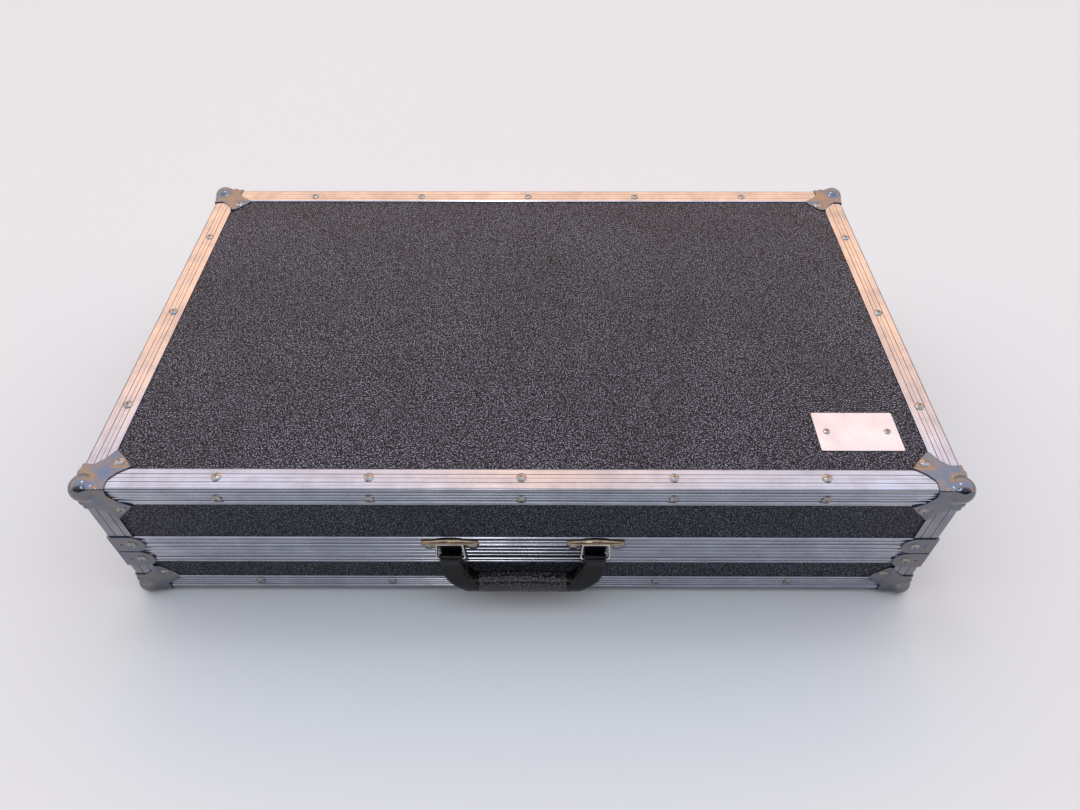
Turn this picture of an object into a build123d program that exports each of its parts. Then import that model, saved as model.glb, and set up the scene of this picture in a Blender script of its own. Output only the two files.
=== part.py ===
from build123d import *
from math import hypot, sqrt
import os

os.makedirs("parts", exist_ok=True)

# Case over the outer faces of its extrusions, in millimetres
case_width = 800.0
case_depth = 478.0
case_height = 176.0
base_height = 73.0
lid_gap = 0.3

# Laminated panels and the double angle extrusion along every edge
panel_thickness = 7.0
edge_flange = 24.0
edge_wall = 1.5
edge_fold_radius = 2.0
panel_end_gap = 0.5
first_rib = 9.0
rib_pitch = 9.0
rib_groove_width = 1.2
rib_groove_depth = 0.4

# Hybrid extrusions on the split line, the lid's with a groove and the base's with a tongue
lid_valance_height = 24.5
base_valance_height = 21.0
tongue_inset = 3.2
tongue_width = 3.2
tongue_height = 5.5
tongue_taper = 0.4
tongue_top_gap = 2.5
flute_pitch = 4.0
flute_width = 1.1

# Ball corners of pressed steel
corner_sheet = 1.2
ball_radius = 12.5
ball_inset = 6.0
foot_flat = 0.3
plate_edge_reach = 28.5
plate_waist = (27.5, 10.0)
plate_shoulder = (34.0, 18.0)
plate_tip = (45.4, 25.5)
plate_tip_radius = 2.5
plate_bend_radius = 1.0
corner_rivet_inset = 31.5
step_gap = 0.2

# Braces round the four corners of the split line
brace_height = 24.5
brace_reach = 31.5
brace_split_gap = 0.7
brace_bend_radius = 1.0
brace_dimple_place = 9.0
brace_dimple_radius = 1.3
brace_dimple_depth = 0.4

# Rivets
rivet_pitch = 137.5
rivet_inset = 14.0
rivet_corner_room = 60.0
rivet_head_radius = 4.75
rivet_head_height = 1.9
small_rivet_head_radius = 3.3
small_rivet_head_height = 1.3
rivet_shank_radius = 2.0
small_rivet_shank_radius = 1.4
rivet_rim = 0.4
rivet_dimple_radius = 1.2
rivet_dimple_depth = 0.7
rivet_hole_gap = 0.1

# Name plate on the lid, left bare
name_plate_length = 77.5
name_plate_depth = 46.7
name_plate_thickness = 0.8
name_plate_corner_radius = 1.5
name_plate_right_inset = 44.2
name_plate_front_inset = 46.5
name_plate_rivet_inset = 10.0

# Foam lining
foam_wall = 25.0
foam_floor = 18.0
foam_gap = 0.3

# Back hinges
hinge_place = 230.0
hinge_length = 80.0
hinge_knuckles = 5
hinge_sheet = 1.5
hinge_offset = 3.4
hinge_leaf_clear = 4.0
hinge_leaf_height = 15.0
knuckle_radius = 2.9
knuckle_gap = 0.4
hinge_pin_radius = 1.5
hinge_pin_head = 1.0
pin_fit = 0.05

# Carrying handle on the lid's front
handle_spacing = 142.0
bracket_width = 55.0
bracket_height = 17.5
bracket_arch = 2.0
bracket_sheet = 1.5
bracket_roof_reach = 5.5
bracket_corner_radius = 4.0
bracket_rivet_spacing = 44.0
bracket_rivet_drop = 11.0
tunnel_length = 16.0
tunnel_wall = 1.4
ring_pivot_out = 3.2
ring_pivot_drop = 6.0
ring_wire_radius = 1.3
ring_top_width = 23.0
ring_bottom_width = 27.4
ring_drop = 21.0
ring_lean = 2.3
ring_bend_radius = 2.2
grip_eye_radius = 4.7
grip_leg_width = 21.5
grip_out = 12.0
grip_drop = 34.5
grip_radius = 9.6
grip_half_length = 46.0
grip_corner_share = 0.8
grip_collar_width = 1.2
grip_collar_gap = 2.6
grip_collar_rise = 0.5

# Sections of a grip leg below its eye, each from (x, height over the bar) inside to outside, how far the
# section is on its way out from eye to bar, its thickness and its corner radius
grip_leg_sections = (
    ((60.25, 34.5), (81.75, 34.5), 0.0, 8.0, 3.0),
    ((60.25, 21.5), (81.75, 15.5), 0.4, 12.0, 3.5),
    ((56.5, 15.5), (77.5, 4.5), 0.8, 16.5, 5.0),
    ((51.0, 10.3), (61.0, -8.6), 1.0, 19.2, 7.0),
    ((46.0, 9.6), (46.0, -9.6), 1.0, 19.2, 7.68),
)

# Recessed butterfly latches, one in each end
latch_place = -60.0
latch_drop = 20.0
latch_recess = 15.0
dish_sheet = 1.2
dish_half_width = 36.0
dish_flange = 9.0
dish_flange_below = 6.5
dish_flange_above = 6.0
keeper_pocket_height = 32.0
dish_corner_radius = 4.0
dish_clearance = 0.3
dish_rivet_inset = 4.2
dish_rivet_split = 10.5
dish_rivet_end = 4.0
stud_radius = 4.0
stud_head_radius = 6.0
stud_head_height = 0.8
latch_layer_gap = 0.3
rotor_radius = 15.0
rotor_thickness = 2.0
cam_radius = 9.0
cam_thickness = 7.4
cam_floor_gap = 0.4
cam_play = 0.8
hook_lift = 5.5
hook_swing_out = 3.0
hook_sheet = 1.5
hook_frame_wall = 3.0
hook_arm_width = 18.0
hook_nose_reach = 2.5
keeper_height = 8.5
keeper_sheet = 1.5
keeper_half_width = 12.0
keeper_reach = 2.7
keeper_gap = 0.3
wing_sheet = 1.4
wing_barrel_radius = 1.7
wing_barrel_half_length = 10.7
wing_pin_radius = 1.0
wing_lobe_radius = 8.0
wing_lobe_spacing = 14.0
wing_lobe_drop = 8.5
wing_ear_width = 2.0
wing_ear_gap = 0.3
wing_ear_half_height = 2.2
wing_ear_clearance = 0.8

# Places worked out from the sizes above
ball_reach = ball_radius - ball_inset
handle_reach = grip_out + grip_radius + grip_collar_rise
case_shift = (handle_reach - ball_reach) / 2
half_width = case_width / 2
half_depth = case_depth / 2
bottom_z = ball_reach - foot_flat
split_z = bottom_z + base_height
top_z = bottom_z + case_height
slot_back = edge_wall + panel_thickness
inner_face = slot_back + edge_wall
panel_stop = inner_face + panel_end_gap
groove_roof = tongue_height + tongue_top_gap
foam_out = inner_face + foam_gap
front_y = case_shift - half_depth
back_y = case_shift + half_depth

normals = {"front": Vector(0, -1, 0), "back": Vector(0, 1, 0), "left": Vector(-1, 0, 0), "right": Vector(1, 0, 0)}
half_lengths = {"front": half_width, "back": half_width, "left": half_depth, "right": half_depth}


def side_plane(side):
    """Outer plane of one side: local x runs along it, local y is up from the floor, local z points out."""
    normal = normals[side]
    reach = half_width if side in ("left", "right") else half_depth
    return Plane(Vector(0, case_shift, 0) + normal * reach, x_dir=Vector(0, 0, 1).cross(normal), z_dir=normal)


def bar_plane(side, height, up):
    """Section plane of a bar along one side: local x runs into the case, local y up or down."""
    inward = normals[side] * -1
    origin = side_plane(side).origin + Vector(0, 0, height)
    return Plane(origin, x_dir=inward, z_dir=inward.cross(Vector(0, 0, up)))


def mitre(side):
    """Cut both ends of the bar in hand at 45 degrees through the case's upright corners."""
    plane = side_plane(side)
    for end in (-1, 1):
        along = plane.x_dir * end
        corner = plane.origin + along * half_lengths[side]
        split(bisect_by=Plane(corner, z_dir=along - plane.z_dir), keep=Keep.BOTTOM)


def rivet_row(side):
    """Places of the edge rivets along one side, counted from its middle."""
    steps = int((half_lengths[side] - rivet_corner_room) / rivet_pitch)
    return [rivet_pitch * step for step in range(-steps, steps + 1)]


def edge_rivet_places(shell, side):
    """Rivets on the upright and on the flat flange of one edge extrusion."""
    plane = side_plane(side)
    face, row, turn = (top_z, top_z - rivet_inset, 0) if shell == "lid" else (bottom_z, bottom_z + rivet_inset, 180)
    places = []
    for along in rivet_row(side):
        flat = plane.origin + plane.x_dir * along - plane.z_dir * rivet_inset
        places.append(plane.location * Location((along, row, 0)))
        places.append(Location((flat.X, flat.Y, face), (turn, 0, 0)))
    return places


def cap_height(radius, head_radius, head_height):
    """Height of a domed head, a cap of a sphere, at a distance from its axis."""
    sphere = (head_radius**2 + head_height**2) / (2 * head_height)
    return sqrt(sphere**2 - radius**2) - sphere + head_height


def make_rivet(head_radius, head_height, shank_radius):
    """Pop rivet with its head on height 0: shank, rim, dome and the dimple that its mandrel leaves."""
    dome = head_height - rivet_rim
    middle = (head_radius + rivet_dimple_radius) / 2
    dimple_floor = head_height - rivet_dimple_depth
    crown = (rivet_dimple_radius, rivet_rim + cap_height(rivet_dimple_radius, head_radius, dome))
    with BuildPart() as body:
        with BuildSketch(Plane.XZ):
            with BuildLine():
                Polyline((0, dimple_floor), (0, -corner_sheet), (shank_radius, -corner_sheet), (shank_radius, 0),
                         (head_radius, 0), (head_radius, rivet_rim))
                ThreePointArc((head_radius, rivet_rim),
                              (middle, rivet_rim + cap_height(middle, head_radius, dome)), crown)
                Polyline(crown, (rivet_dimple_radius, dimple_floor), (0, dimple_floor))
            make_face()
        revolve(axis=Axis.Z)
    return body


# Rivets and their holes, with the sheet's face at height 0
rivet = make_rivet(rivet_head_radius, rivet_head_height, rivet_shank_radius)
small_rivet = make_rivet(small_rivet_head_radius, small_rivet_head_height, small_rivet_shank_radius)

with BuildPart() as rivet_hole:
    with BuildSketch(Plane.XY.offset(-edge_wall)):
        Circle(rivet_shank_radius + rivet_hole_gap)
    extrude(amount=2 * edge_wall)

with BuildPart() as small_rivet_hole:
    with BuildSketch(Plane.XY.offset(-edge_wall)):
        Circle(small_rivet_shank_radius + rivet_hole_gap)
    extrude(amount=2 * edge_wall)

# Section of the double angle: outer angle, inner angle, web between them and two fine grooves a face
with BuildSketch() as edge_profile:
    with BuildLine():
        Polyline((0, 0), (edge_flange, 0), (edge_flange, edge_wall), (edge_wall, edge_wall),
                 (edge_wall, edge_flange), (0, edge_flange), (0, 0))
    make_face()
    fillet(edge_profile.vertices().sort_by_distance((0, 0, 0))[0], edge_fold_radius)
    with BuildLine():
        Polyline((slot_back, slot_back), (edge_flange, slot_back), (edge_flange, inner_face),
                 (inner_face, inner_face), (inner_face, edge_flange), (slot_back, edge_flange),
                 (slot_back, slot_back))
    make_face()
    web_middle = (edge_wall + slot_back) / 2
    with Locations((web_middle, web_middle)):
        Rectangle(sqrt(2) * panel_thickness + edge_wall, edge_wall, rotation=45)
    for rib in (first_rib, first_rib + rib_pitch):
        with Locations((rib, 0)):
            Rectangle(rib_groove_width, 2 * rib_groove_depth, mode=Mode.SUBTRACT)
        with Locations((0, rib)):
            Rectangle(2 * rib_groove_depth, rib_groove_width, mode=Mode.SUBTRACT)

corner_low = (Align.MIN, Align.MIN)
corner_high = (Align.MIN, Align.MAX)

# Section of the lid's valance, with height 0 at the split line
with BuildSketch() as lid_valance_profile:
    with Locations((0, lid_gap), (slot_back, lid_gap)):
        Rectangle(edge_wall, lid_valance_height - lid_gap, align=corner_low)
    with Locations((0, groove_roof)):
        Rectangle(inner_face, edge_wall, align=corner_low)
    lid_flutes = int(lid_valance_height / flute_pitch) - 1
    with Locations(*[(0, lid_valance_height - flute_pitch * (step + 1)) for step in range(lid_flutes)]):
        Rectangle(2 * rib_groove_depth, flute_width, mode=Mode.SUBTRACT)

# Section of the base's valance, with its tapered tongue standing above the split line
with BuildSketch() as base_valance_profile:
    with Locations((0, 0), (slot_back, 0)):
        Rectangle(edge_wall, base_valance_height, align=corner_high)
    Rectangle(inner_face, edge_wall, align=corner_high)
    with BuildLine():
        Polyline((tongue_inset, -edge_wall), (tongue_inset + tongue_width, -edge_wall),
                 (tongue_inset + tongue_width, 0), (tongue_inset + tongue_width - tongue_taper, tongue_height),
                 (tongue_inset + tongue_taper, tongue_height), (tongue_inset, 0), (tongue_inset, -edge_wall))
    make_face()
    base_flutes = int(base_valance_height / flute_pitch) - 1
    with Locations(*[(0, -flute_pitch * (step + 1)) for step in range(base_flutes)]):
        Rectangle(2 * rib_groove_depth, flute_width, mode=Mode.SUBTRACT)

# Edge extrusions: four round the bottom and four round the top
for shell, edge_z, up in (("base", bottom_z, 1), ("lid", top_z, -1)):
    for side in normals:
        with BuildPart() as edge:
            with BuildSketch(bar_plane(side, edge_z, up)):
                add(edge_profile.sketch)
            extrude(amount=half_lengths[side], both=True)
            mitre(side)
            with Locations(*edge_rivet_places(shell, side)):
                add(rivet_hole.part, mode=Mode.SUBTRACT)
        edge.part.label = f"{shell}_edge_{side}"
        export_step(edge.part, f"parts/{shell}_edge_{side}.step")

# Corner posts: the same extrusion, upright between edge and valance
post_spans = {
    "base": (bottom_z + edge_flange, split_z - base_valance_height),
    "lid": (split_z + lid_valance_height, top_z - edge_flange),
}
for shell, (low, high) in post_spans.items():
    with BuildPart() as posts:
        with BuildSketch(Plane((half_width, back_y, low), x_dir=(-1, 0, 0), z_dir=(0, 0, 1))):
            add(edge_profile.sketch)
        extrude(amount=high - low)
        mirror(about=Plane.YZ)
        mirror(about=Plane.XZ.offset(-case_shift))
    posts.part.label = f"{shell}_corner_posts"
    export_step(posts.part, f"parts/{shell}_corner_posts.step")

# Latch frame on the right end: local x towards the back, local y up, local z out of the case
latch_plane = Plane((half_width, case_shift + latch_place, split_z - latch_drop), x_dir=(0, 1, 0), z_dir=(1, 0, 0))
dish_outer = dish_half_width + dish_sheet
dish_bottom = -latch_drop - dish_sheet
keeper_top = latch_drop + keeper_pocket_height + dish_sheet

# Room that the two dishes need in the walls and in the foam
with BuildPart() as dish_room_right:
    with BuildSketch(latch_plane.offset(edge_wall)):
        with Locations((0, dish_bottom - dish_clearance)):
            Rectangle(2 * (dish_outer + dish_clearance), keeper_top - dish_bottom + 2 * dish_clearance,
                      align=(Align.CENTER, Align.MIN))
    extrude(amount=-(edge_wall + latch_recess + dish_sheet + dish_clearance))

with BuildPart() as dish_room_left:
    mirror(dish_room_right.part, about=Plane.YZ)

dish_rooms = {"left": dish_room_left, "right": dish_room_right}

# Valances
for shell, profile in (("base", base_valance_profile), ("lid", lid_valance_profile)):
    for side in normals:
        with BuildPart() as valance:
            with BuildSketch(bar_plane(side, split_z, 1)):
                add(profile.sketch)
            extrude(amount=half_lengths[side], both=True)
            mitre(side)
            if side in dish_rooms:
                add(dish_rooms[side].part, mode=Mode.SUBTRACT)
        valance.part.label = f"{shell}_valance_{side}"
        export_step(valance.part, f"parts/{shell}_valance_{side}.step")

# Upright panels, held by the edge below or above, the posts and the valance
panel_spans = {
    "base": (bottom_z + panel_stop, split_z - edge_wall - panel_end_gap),
    "lid": (split_z + groove_roof + edge_wall + panel_end_gap, top_z - panel_stop),
}
for shell, (low, high) in panel_spans.items():
    for side in normals:
        with BuildPart() as panel:
            with BuildSketch(side_plane(side).offset(-edge_wall)):
                with Locations((0, (low + high) / 2)):
                    Rectangle(2 * (half_lengths[side] - panel_stop), high - low)
            extrude(amount=-panel_thickness)
            if side in dish_rooms:
                add(dish_rooms[side].part, mode=Mode.SUBTRACT)
        panel.part.label = f"{shell}_{side}_panel"
        export_step(panel.part, f"parts/{shell}_{side}_panel.step")

# Bottom panel
with BuildPart() as base_bottom_panel:
    with BuildSketch(Plane.XY.offset(bottom_z + edge_wall)):
        with Locations((0, case_shift)):
            Rectangle(case_width - 2 * panel_stop, case_depth - 2 * panel_stop)
    extrude(amount=panel_thickness)
base_bottom_panel.part.label = "base_bottom_panel"
export_step(base_bottom_panel.part, "parts/base_bottom_panel.step")

# Ball corner for a case that fills the octant below zero: outline of one of its three plates
window = edge_flange + step_gap
with BuildSketch() as plate_outline:
    with BuildLine():
        Polyline((corner_sheet, corner_sheet), (-plate_edge_reach, corner_sheet), (-plate_edge_reach, 0),
                 (-plate_waist[0], -plate_waist[1]), (-plate_shoulder[0], -plate_shoulder[1]),
                 (-plate_tip[0], -plate_tip[1]), (-plate_tip[1], -plate_tip[0]),
                 (-plate_shoulder[1], -plate_shoulder[0]), (-plate_waist[1], -plate_waist[0]),
                 (0, -plate_edge_reach), (corner_sheet, -plate_edge_reach), (corner_sheet, corner_sheet))
    make_face()
    tips = plate_outline.vertices().sort_by_distance((-plate_tip[0], -plate_tip[0], 0))[0:2]
    fillet(tips, plate_tip_radius)

with BuildSketch() as plate_on_flanges:
    add(plate_outline.sketch)
    with Locations((-window, -window)):
        Rectangle(plate_tip[0], plate_tip[0], align=(Align.MAX, Align.MAX), mode=Mode.SUBTRACT)

with BuildSketch() as plate_on_panel:
    add(plate_outline.sketch)
    with Locations((-window, -window)):
        Rectangle(plate_tip[0], plate_tip[0], align=(Align.MAX, Align.MAX), mode=Mode.INTERSECT)

with BuildSketch() as plate_step:
    add(plate_on_panel.sketch)
    with Locations((-window - corner_sheet, -window - corner_sheet)):
        Rectangle(plate_tip[0], plate_tip[0], align=(Align.MAX, Align.MAX), mode=Mode.SUBTRACT)

corner_faces = (Plane.XY, Plane.YZ, Plane.ZX)
corner_rivet_places = [
    face.location * Location((-corner_rivet_inset, -corner_rivet_inset, corner_sheet - edge_wall))
    for face in corner_faces
]
ball_centre = (-ball_inset, -ball_inset, -ball_inset)

with BuildPart() as ball:
    with Locations(ball_centre):
        Sphere(ball_radius)
    Box(ball_radius * 2, ball_radius * 2, ball_radius * 2, align=(Align.MAX, Align.MAX, Align.MAX),
        mode=Mode.SUBTRACT)

with BuildPart() as ball_corner:
    for face in corner_faces:
        with BuildSketch(face):
            add(plate_on_flanges.sketch)
        extrude(amount=corner_sheet)
        with BuildSketch(face.offset(-edge_wall)):
            add(plate_on_panel.sketch)
        extrude(amount=corner_sheet)
        with BuildSketch(face.offset(-edge_wall)):
            add(plate_step.sketch)
        extrude(amount=edge_wall + corner_sheet)
    folds = ball_corner.edges().sort_by_distance((corner_sheet, corner_sheet, corner_sheet))[0:3]
    fillet(folds, plate_bend_radius)
    add(ball.part)
    with Locations(ball_centre):
        Sphere(ball_radius - corner_sheet, mode=Mode.SUBTRACT)
    with Locations(*corner_rivet_places):
        add(rivet_hole.part, mode=Mode.SUBTRACT)

# Brace for an upright corner: two bullet ended legs, centred on height 0
brace_tip = brace_reach - brace_height / 2
brace_faces = (
    Plane((0, 0, 0), x_dir=(0, 1, 0), z_dir=(1, 0, 0)),
    Plane((0, 0, 0), x_dir=(1, 0, 0), z_dir=(0, 1, 0)),
)
brace_rivet_places = [face.location * Location((-brace_tip, 0, corner_sheet)) for face in brace_faces]

with BuildPart() as brace:
    for face in brace_faces:
        with BuildSketch(face):
            with Locations((corner_sheet, 0)):
                Rectangle(brace_tip + corner_sheet, brace_height, align=(Align.MAX, Align.CENTER))
            with Locations((-brace_tip, 0)):
                Circle(brace_height / 2)
        extrude(amount=corner_sheet)
        with BuildSketch(face.offset(corner_sheet)):
            with Locations((-brace_dimple_place, 0)):
                Circle(brace_dimple_radius)
        extrude(amount=-brace_dimple_depth, mode=Mode.SUBTRACT)
    fillet(brace.edges().filter_by(Axis.Z).sort_by_distance((corner_sheet, corner_sheet, 0))[0], brace_bend_radius)
    with Locations(*brace_rivet_places):
        add(rivet_hole.part, mode=Mode.SUBTRACT)

# Rivets of one ball corner and of one brace
with BuildPart() as ball_corner_rivets:
    with Locations(*corner_rivet_places):
        add(rivet.part)

with BuildPart() as brace_rivets:
    with Locations(*brace_rivet_places):
        add(rivet.part)

# Corner fittings and their rivets, made at the back right corner and mirrored to the other three
brace_middle = brace_split_gap + brace_height / 2
shell_corners = {"base": (bottom_z, split_z - brace_middle, True), "lid": (top_z, split_z + brace_middle, False)}
for shell, (corner_z, brace_z, turned) in shell_corners.items():
    corner_form = ball_corner.part.mirror(Plane.XY) if turned else ball_corner.part
    corner_rivets_form = ball_corner_rivets.part.mirror(Plane.XY) if turned else ball_corner_rivets.part
    with BuildPart() as ball_corners:
        with Locations((half_width, back_y, corner_z)):
            add(corner_form)
        mirror(about=Plane.YZ)
        mirror(about=Plane.XZ.offset(-case_shift))
        if turned:
            split(bisect_by=Plane.XY, keep=Keep.TOP)
    ball_corners.part.label = f"{shell}_ball_corners"
    export_step(ball_corners.part, f"parts/{shell}_ball_corners.step")

    with BuildPart() as braces:
        with Locations((half_width, back_y, brace_z)):
            add(brace.part)
        mirror(about=Plane.YZ)
        mirror(about=Plane.XZ.offset(-case_shift))
    braces.part.label = f"{shell}_corner_braces"
    export_step(braces.part, f"parts/{shell}_corner_braces.step")

    with BuildPart() as corner_rivets:
        with Locations((half_width, back_y, corner_z)):
            add(corner_rivets_form)
        with Locations((half_width, back_y, brace_z)):
            add(brace_rivets.part)
        mirror(about=Plane.YZ)
        mirror(about=Plane.XZ.offset(-case_shift))
    corner_rivets.part.label = f"{shell}_corner_rivets"
    export_step(corner_rivets.part, f"parts/{shell}_corner_rivets.step")

    with BuildPart() as edge_rivets:
        for side in normals:
            with Locations(*edge_rivet_places(shell, side)):
                add(rivet.part)
    edge_rivets.part.label = f"{shell}_edge_rivets"
    export_step(edge_rivets.part, f"parts/{shell}_edge_rivets.step")

# Foam: a slab on the bottom or under the top, and a strip on each wall
foam_half_width = half_width - foam_out
foam_half_depth = half_depth - foam_out
slabs = {"base_foam_floor": (bottom_z + foam_out, foam_floor), "lid_foam_pad": (top_z - foam_out, -foam_floor)}
for name, (seat_z, rise) in slabs.items():
    with BuildPart() as slab:
        with BuildSketch(Plane.XY.offset(seat_z)):
            with Locations((0, case_shift)):
                Rectangle(2 * foam_half_width, 2 * foam_half_depth)
        extrude(amount=rise)
    slab.part.label = name
    export_step(slab.part, f"parts/{name}.step")

strip_spans = {
    "base": (bottom_z + foam_out + foam_floor, split_z - foam_gap),
    "lid": (split_z + lid_gap + foam_gap, top_z - foam_out - foam_floor),
}
for shell, (low, high) in strip_spans.items():
    with BuildPart() as strips:
        for side in ("front", "back"):
            with BuildSketch(side_plane(side).offset(-foam_out)):
                with Locations((0, (low + high) / 2)):
                    Rectangle(2 * foam_half_width, high - low)
            extrude(amount=-foam_wall)
        for side in ("left", "right"):
            with BuildSketch(side_plane(side).offset(-foam_out)):
                with Locations((0, (low + high) / 2)):
                    Rectangle(2 * (foam_half_depth - foam_wall - foam_gap), high - low)
            extrude(amount=-foam_wall)
        for room in dish_rooms.values():
            add(room.part, mode=Mode.SUBTRACT)
    strips.part.label = f"{shell}_foam_walls"
    export_step(strips.part, f"parts/{shell}_foam_walls.step")

# Name plate and its two rivets
plate_x = half_width - name_plate_right_inset - name_plate_length / 2
plate_y = front_y + name_plate_front_inset + name_plate_depth / 2
panel_top = top_z - edge_wall
plate_rivet_reach = name_plate_length / 2 - name_plate_rivet_inset
plate_rivet_places = [
    Location((plate_x + end * plate_rivet_reach, plate_y, panel_top + name_plate_thickness)) for end in (-1, 1)
]
with BuildPart() as name_plate:
    with BuildSketch(Plane.XY.offset(panel_top)):
        with Locations((plate_x, plate_y)):
            RectangleRounded(name_plate_length, name_plate_depth, name_plate_corner_radius)
    extrude(amount=name_plate_thickness)
    with Locations(*plate_rivet_places):
        add(small_rivet_hole.part, mode=Mode.SUBTRACT)
name_plate.part.label = "name_plate"
export_step(name_plate.part, "parts/name_plate.step")

# Top panel, with holes where the plate's rivets go on into it
with BuildPart() as lid_top_panel:
    with BuildSketch(Plane.XY.offset(panel_top)):
        with Locations((0, case_shift)):
            Rectangle(case_width - 2 * panel_stop, case_depth - 2 * panel_stop)
    extrude(amount=-panel_thickness)
    with Locations(*plate_rivet_places):
        add(small_rivet_hole.part, mode=Mode.SUBTRACT)
lid_top_panel.part.label = "lid_top_panel"
export_step(lid_top_panel.part, "parts/lid_top_panel.step")

# Back hinges: knuckles on one axis behind the split line, every other one on the lid
hinge_axis_y = back_y + hinge_offset
hinge_axis_z = split_z + lid_gap / 2
knuckle_step = hinge_length / hinge_knuckles
leaf_rivet_height = hinge_leaf_clear + hinge_leaf_height / 2


def hinge_rivet_places(up):
    """Three rivets in each of the two leaves above or below the hinge axis."""
    spots = []
    for middle in (-hinge_place, hinge_place):
        for step in (-1, 0, 1):
            spots.append((middle + step * hinge_length / 3, hinge_axis_z + up * leaf_rivet_height, hinge_sheet))
    return [side_plane("back").location * Location(spot) for spot in spots]


def make_leaves(up, first_knuckle):
    """Two leaves on the back face, with every second knuckle from first_knuckle on."""
    edge_align = Align.MIN if up > 0 else Align.MAX
    with BuildPart() as leaves:
        for middle in (-hinge_place, hinge_place):
            with BuildSketch(side_plane("back")):
                with Locations((middle, hinge_axis_z + up * hinge_leaf_clear)):
                    Rectangle(hinge_length, hinge_leaf_height, align=(Align.CENTER, edge_align))
            extrude(amount=hinge_sheet)
            for number in range(first_knuckle, hinge_knuckles, 2):
                start = middle - hinge_length / 2 + number * knuckle_step + knuckle_gap / 2
                with BuildSketch(Plane.YZ.offset(start)):
                    with Locations((hinge_axis_y, hinge_axis_z)):
                        Circle(knuckle_radius)
                    with Locations((back_y, hinge_axis_z)):
                        Rectangle(hinge_sheet, hinge_leaf_clear + hinge_sheet, align=(Align.MIN, edge_align))
                    with Locations((hinge_axis_y, hinge_axis_z)):
                        Circle(hinge_pin_radius + pin_fit, mode=Mode.SUBTRACT)
                extrude(amount=knuckle_step - knuckle_gap)
        with Locations(*hinge_rivet_places(up)):
            add(small_rivet_hole.part, mode=Mode.SUBTRACT)
    return leaves


hinge_base_leaves = make_leaves(-1, 0)
hinge_base_leaves.part.label = "hinge_base_leaves"
export_step(hinge_base_leaves.part, "parts/hinge_base_leaves.step")

hinge_lid_leaves = make_leaves(1, 1)
hinge_lid_leaves.part.label = "hinge_lid_leaves"
export_step(hinge_lid_leaves.part, "parts/hinge_lid_leaves.step")

with BuildPart() as hinge_pins:
    for middle in (-hinge_place, hinge_place):
        start = middle - hinge_length / 2
        with BuildSketch(Plane.YZ.offset(start)):
            with Locations((hinge_axis_y, hinge_axis_z)):
                Circle(hinge_pin_radius)
        extrude(amount=hinge_length)
        with BuildSketch(Plane.YZ.offset(start), Plane.YZ.offset(start + hinge_length + hinge_pin_head)):
            with Locations((hinge_axis_y, hinge_axis_z)):
                Circle(knuckle_radius - pin_fit)
        extrude(amount=-hinge_pin_head)
hinge_pins.part.label = "hinge_pins"
export_step(hinge_pins.part, "parts/hinge_pins.step")

# Handle brackets on the lid's front valance: arched plate, roof over it and a tunnel for the ring
bracket_top = split_z + lid_valance_height
bracket_places = (-handle_spacing / 2, handle_spacing / 2)
bracket_side = bracket_width / 2
ring_pivot_y = front_y - ring_pivot_out
ring_pivot_z = bracket_top - ring_pivot_drop
bracket_rivet_places = [
    side_plane("front").location * Location((middle + end * bracket_rivet_spacing / 2,
                                             bracket_top - bracket_rivet_drop, bracket_sheet))
    for middle in bracket_places for end in (-1, 1)
]


def arched_face(low, hollow):
    """Face under a bracket's arched top edge, down to a height, with a straight or an arched lower edge."""
    spring = bracket_top - bracket_arch
    with BuildSketch() as face:
        with BuildLine():
            ThreePointArc((-bracket_side, spring), (0, bracket_top), (bracket_side, spring))
            Line((bracket_side, spring), (bracket_side, low))
            if hollow:
                ThreePointArc((bracket_side, low), (0, low + bracket_arch), (-bracket_side, low))
            else:
                Line((bracket_side, low), (-bracket_side, low))
            Line((-bracket_side, low), (-bracket_side, spring))
        make_face()
    return face.sketch


with BuildPart() as handle_brackets:
    for middle in bracket_places:
        with BuildSketch(side_plane("front")) as bracket_plate:
            with Locations((middle, 0)):
                add(arched_face(bracket_top - bracket_height, False))
            fillet(bracket_plate.vertices().group_by(Axis.Y)[0], bracket_corner_radius)
        extrude(amount=bracket_sheet)
        with BuildSketch(side_plane("front")):
            with Locations((middle, 0)):
                add(arched_face(bracket_top - bracket_arch - bracket_sheet, True))
        extrude(amount=bracket_roof_reach)
        with BuildSketch(Plane.YZ.offset(middle - tunnel_length / 2)):
            with Locations((ring_pivot_y, ring_pivot_z)):
                Circle(ring_wire_radius + pin_fit + tunnel_wall)
                Rectangle(ring_pivot_out, 2 * (ring_wire_radius + pin_fit + tunnel_wall),
                          align=(Align.MIN, Align.CENTER))
                Circle(ring_wire_radius + pin_fit, mode=Mode.SUBTRACT)
        extrude(amount=tunnel_length)
    with Locations(*bracket_rivet_places):
        add(rivet_hole.part, mode=Mode.SUBTRACT)
handle_brackets.part.label = "handle_brackets"
export_step(handle_brackets.part, "parts/handle_brackets.step")

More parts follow.
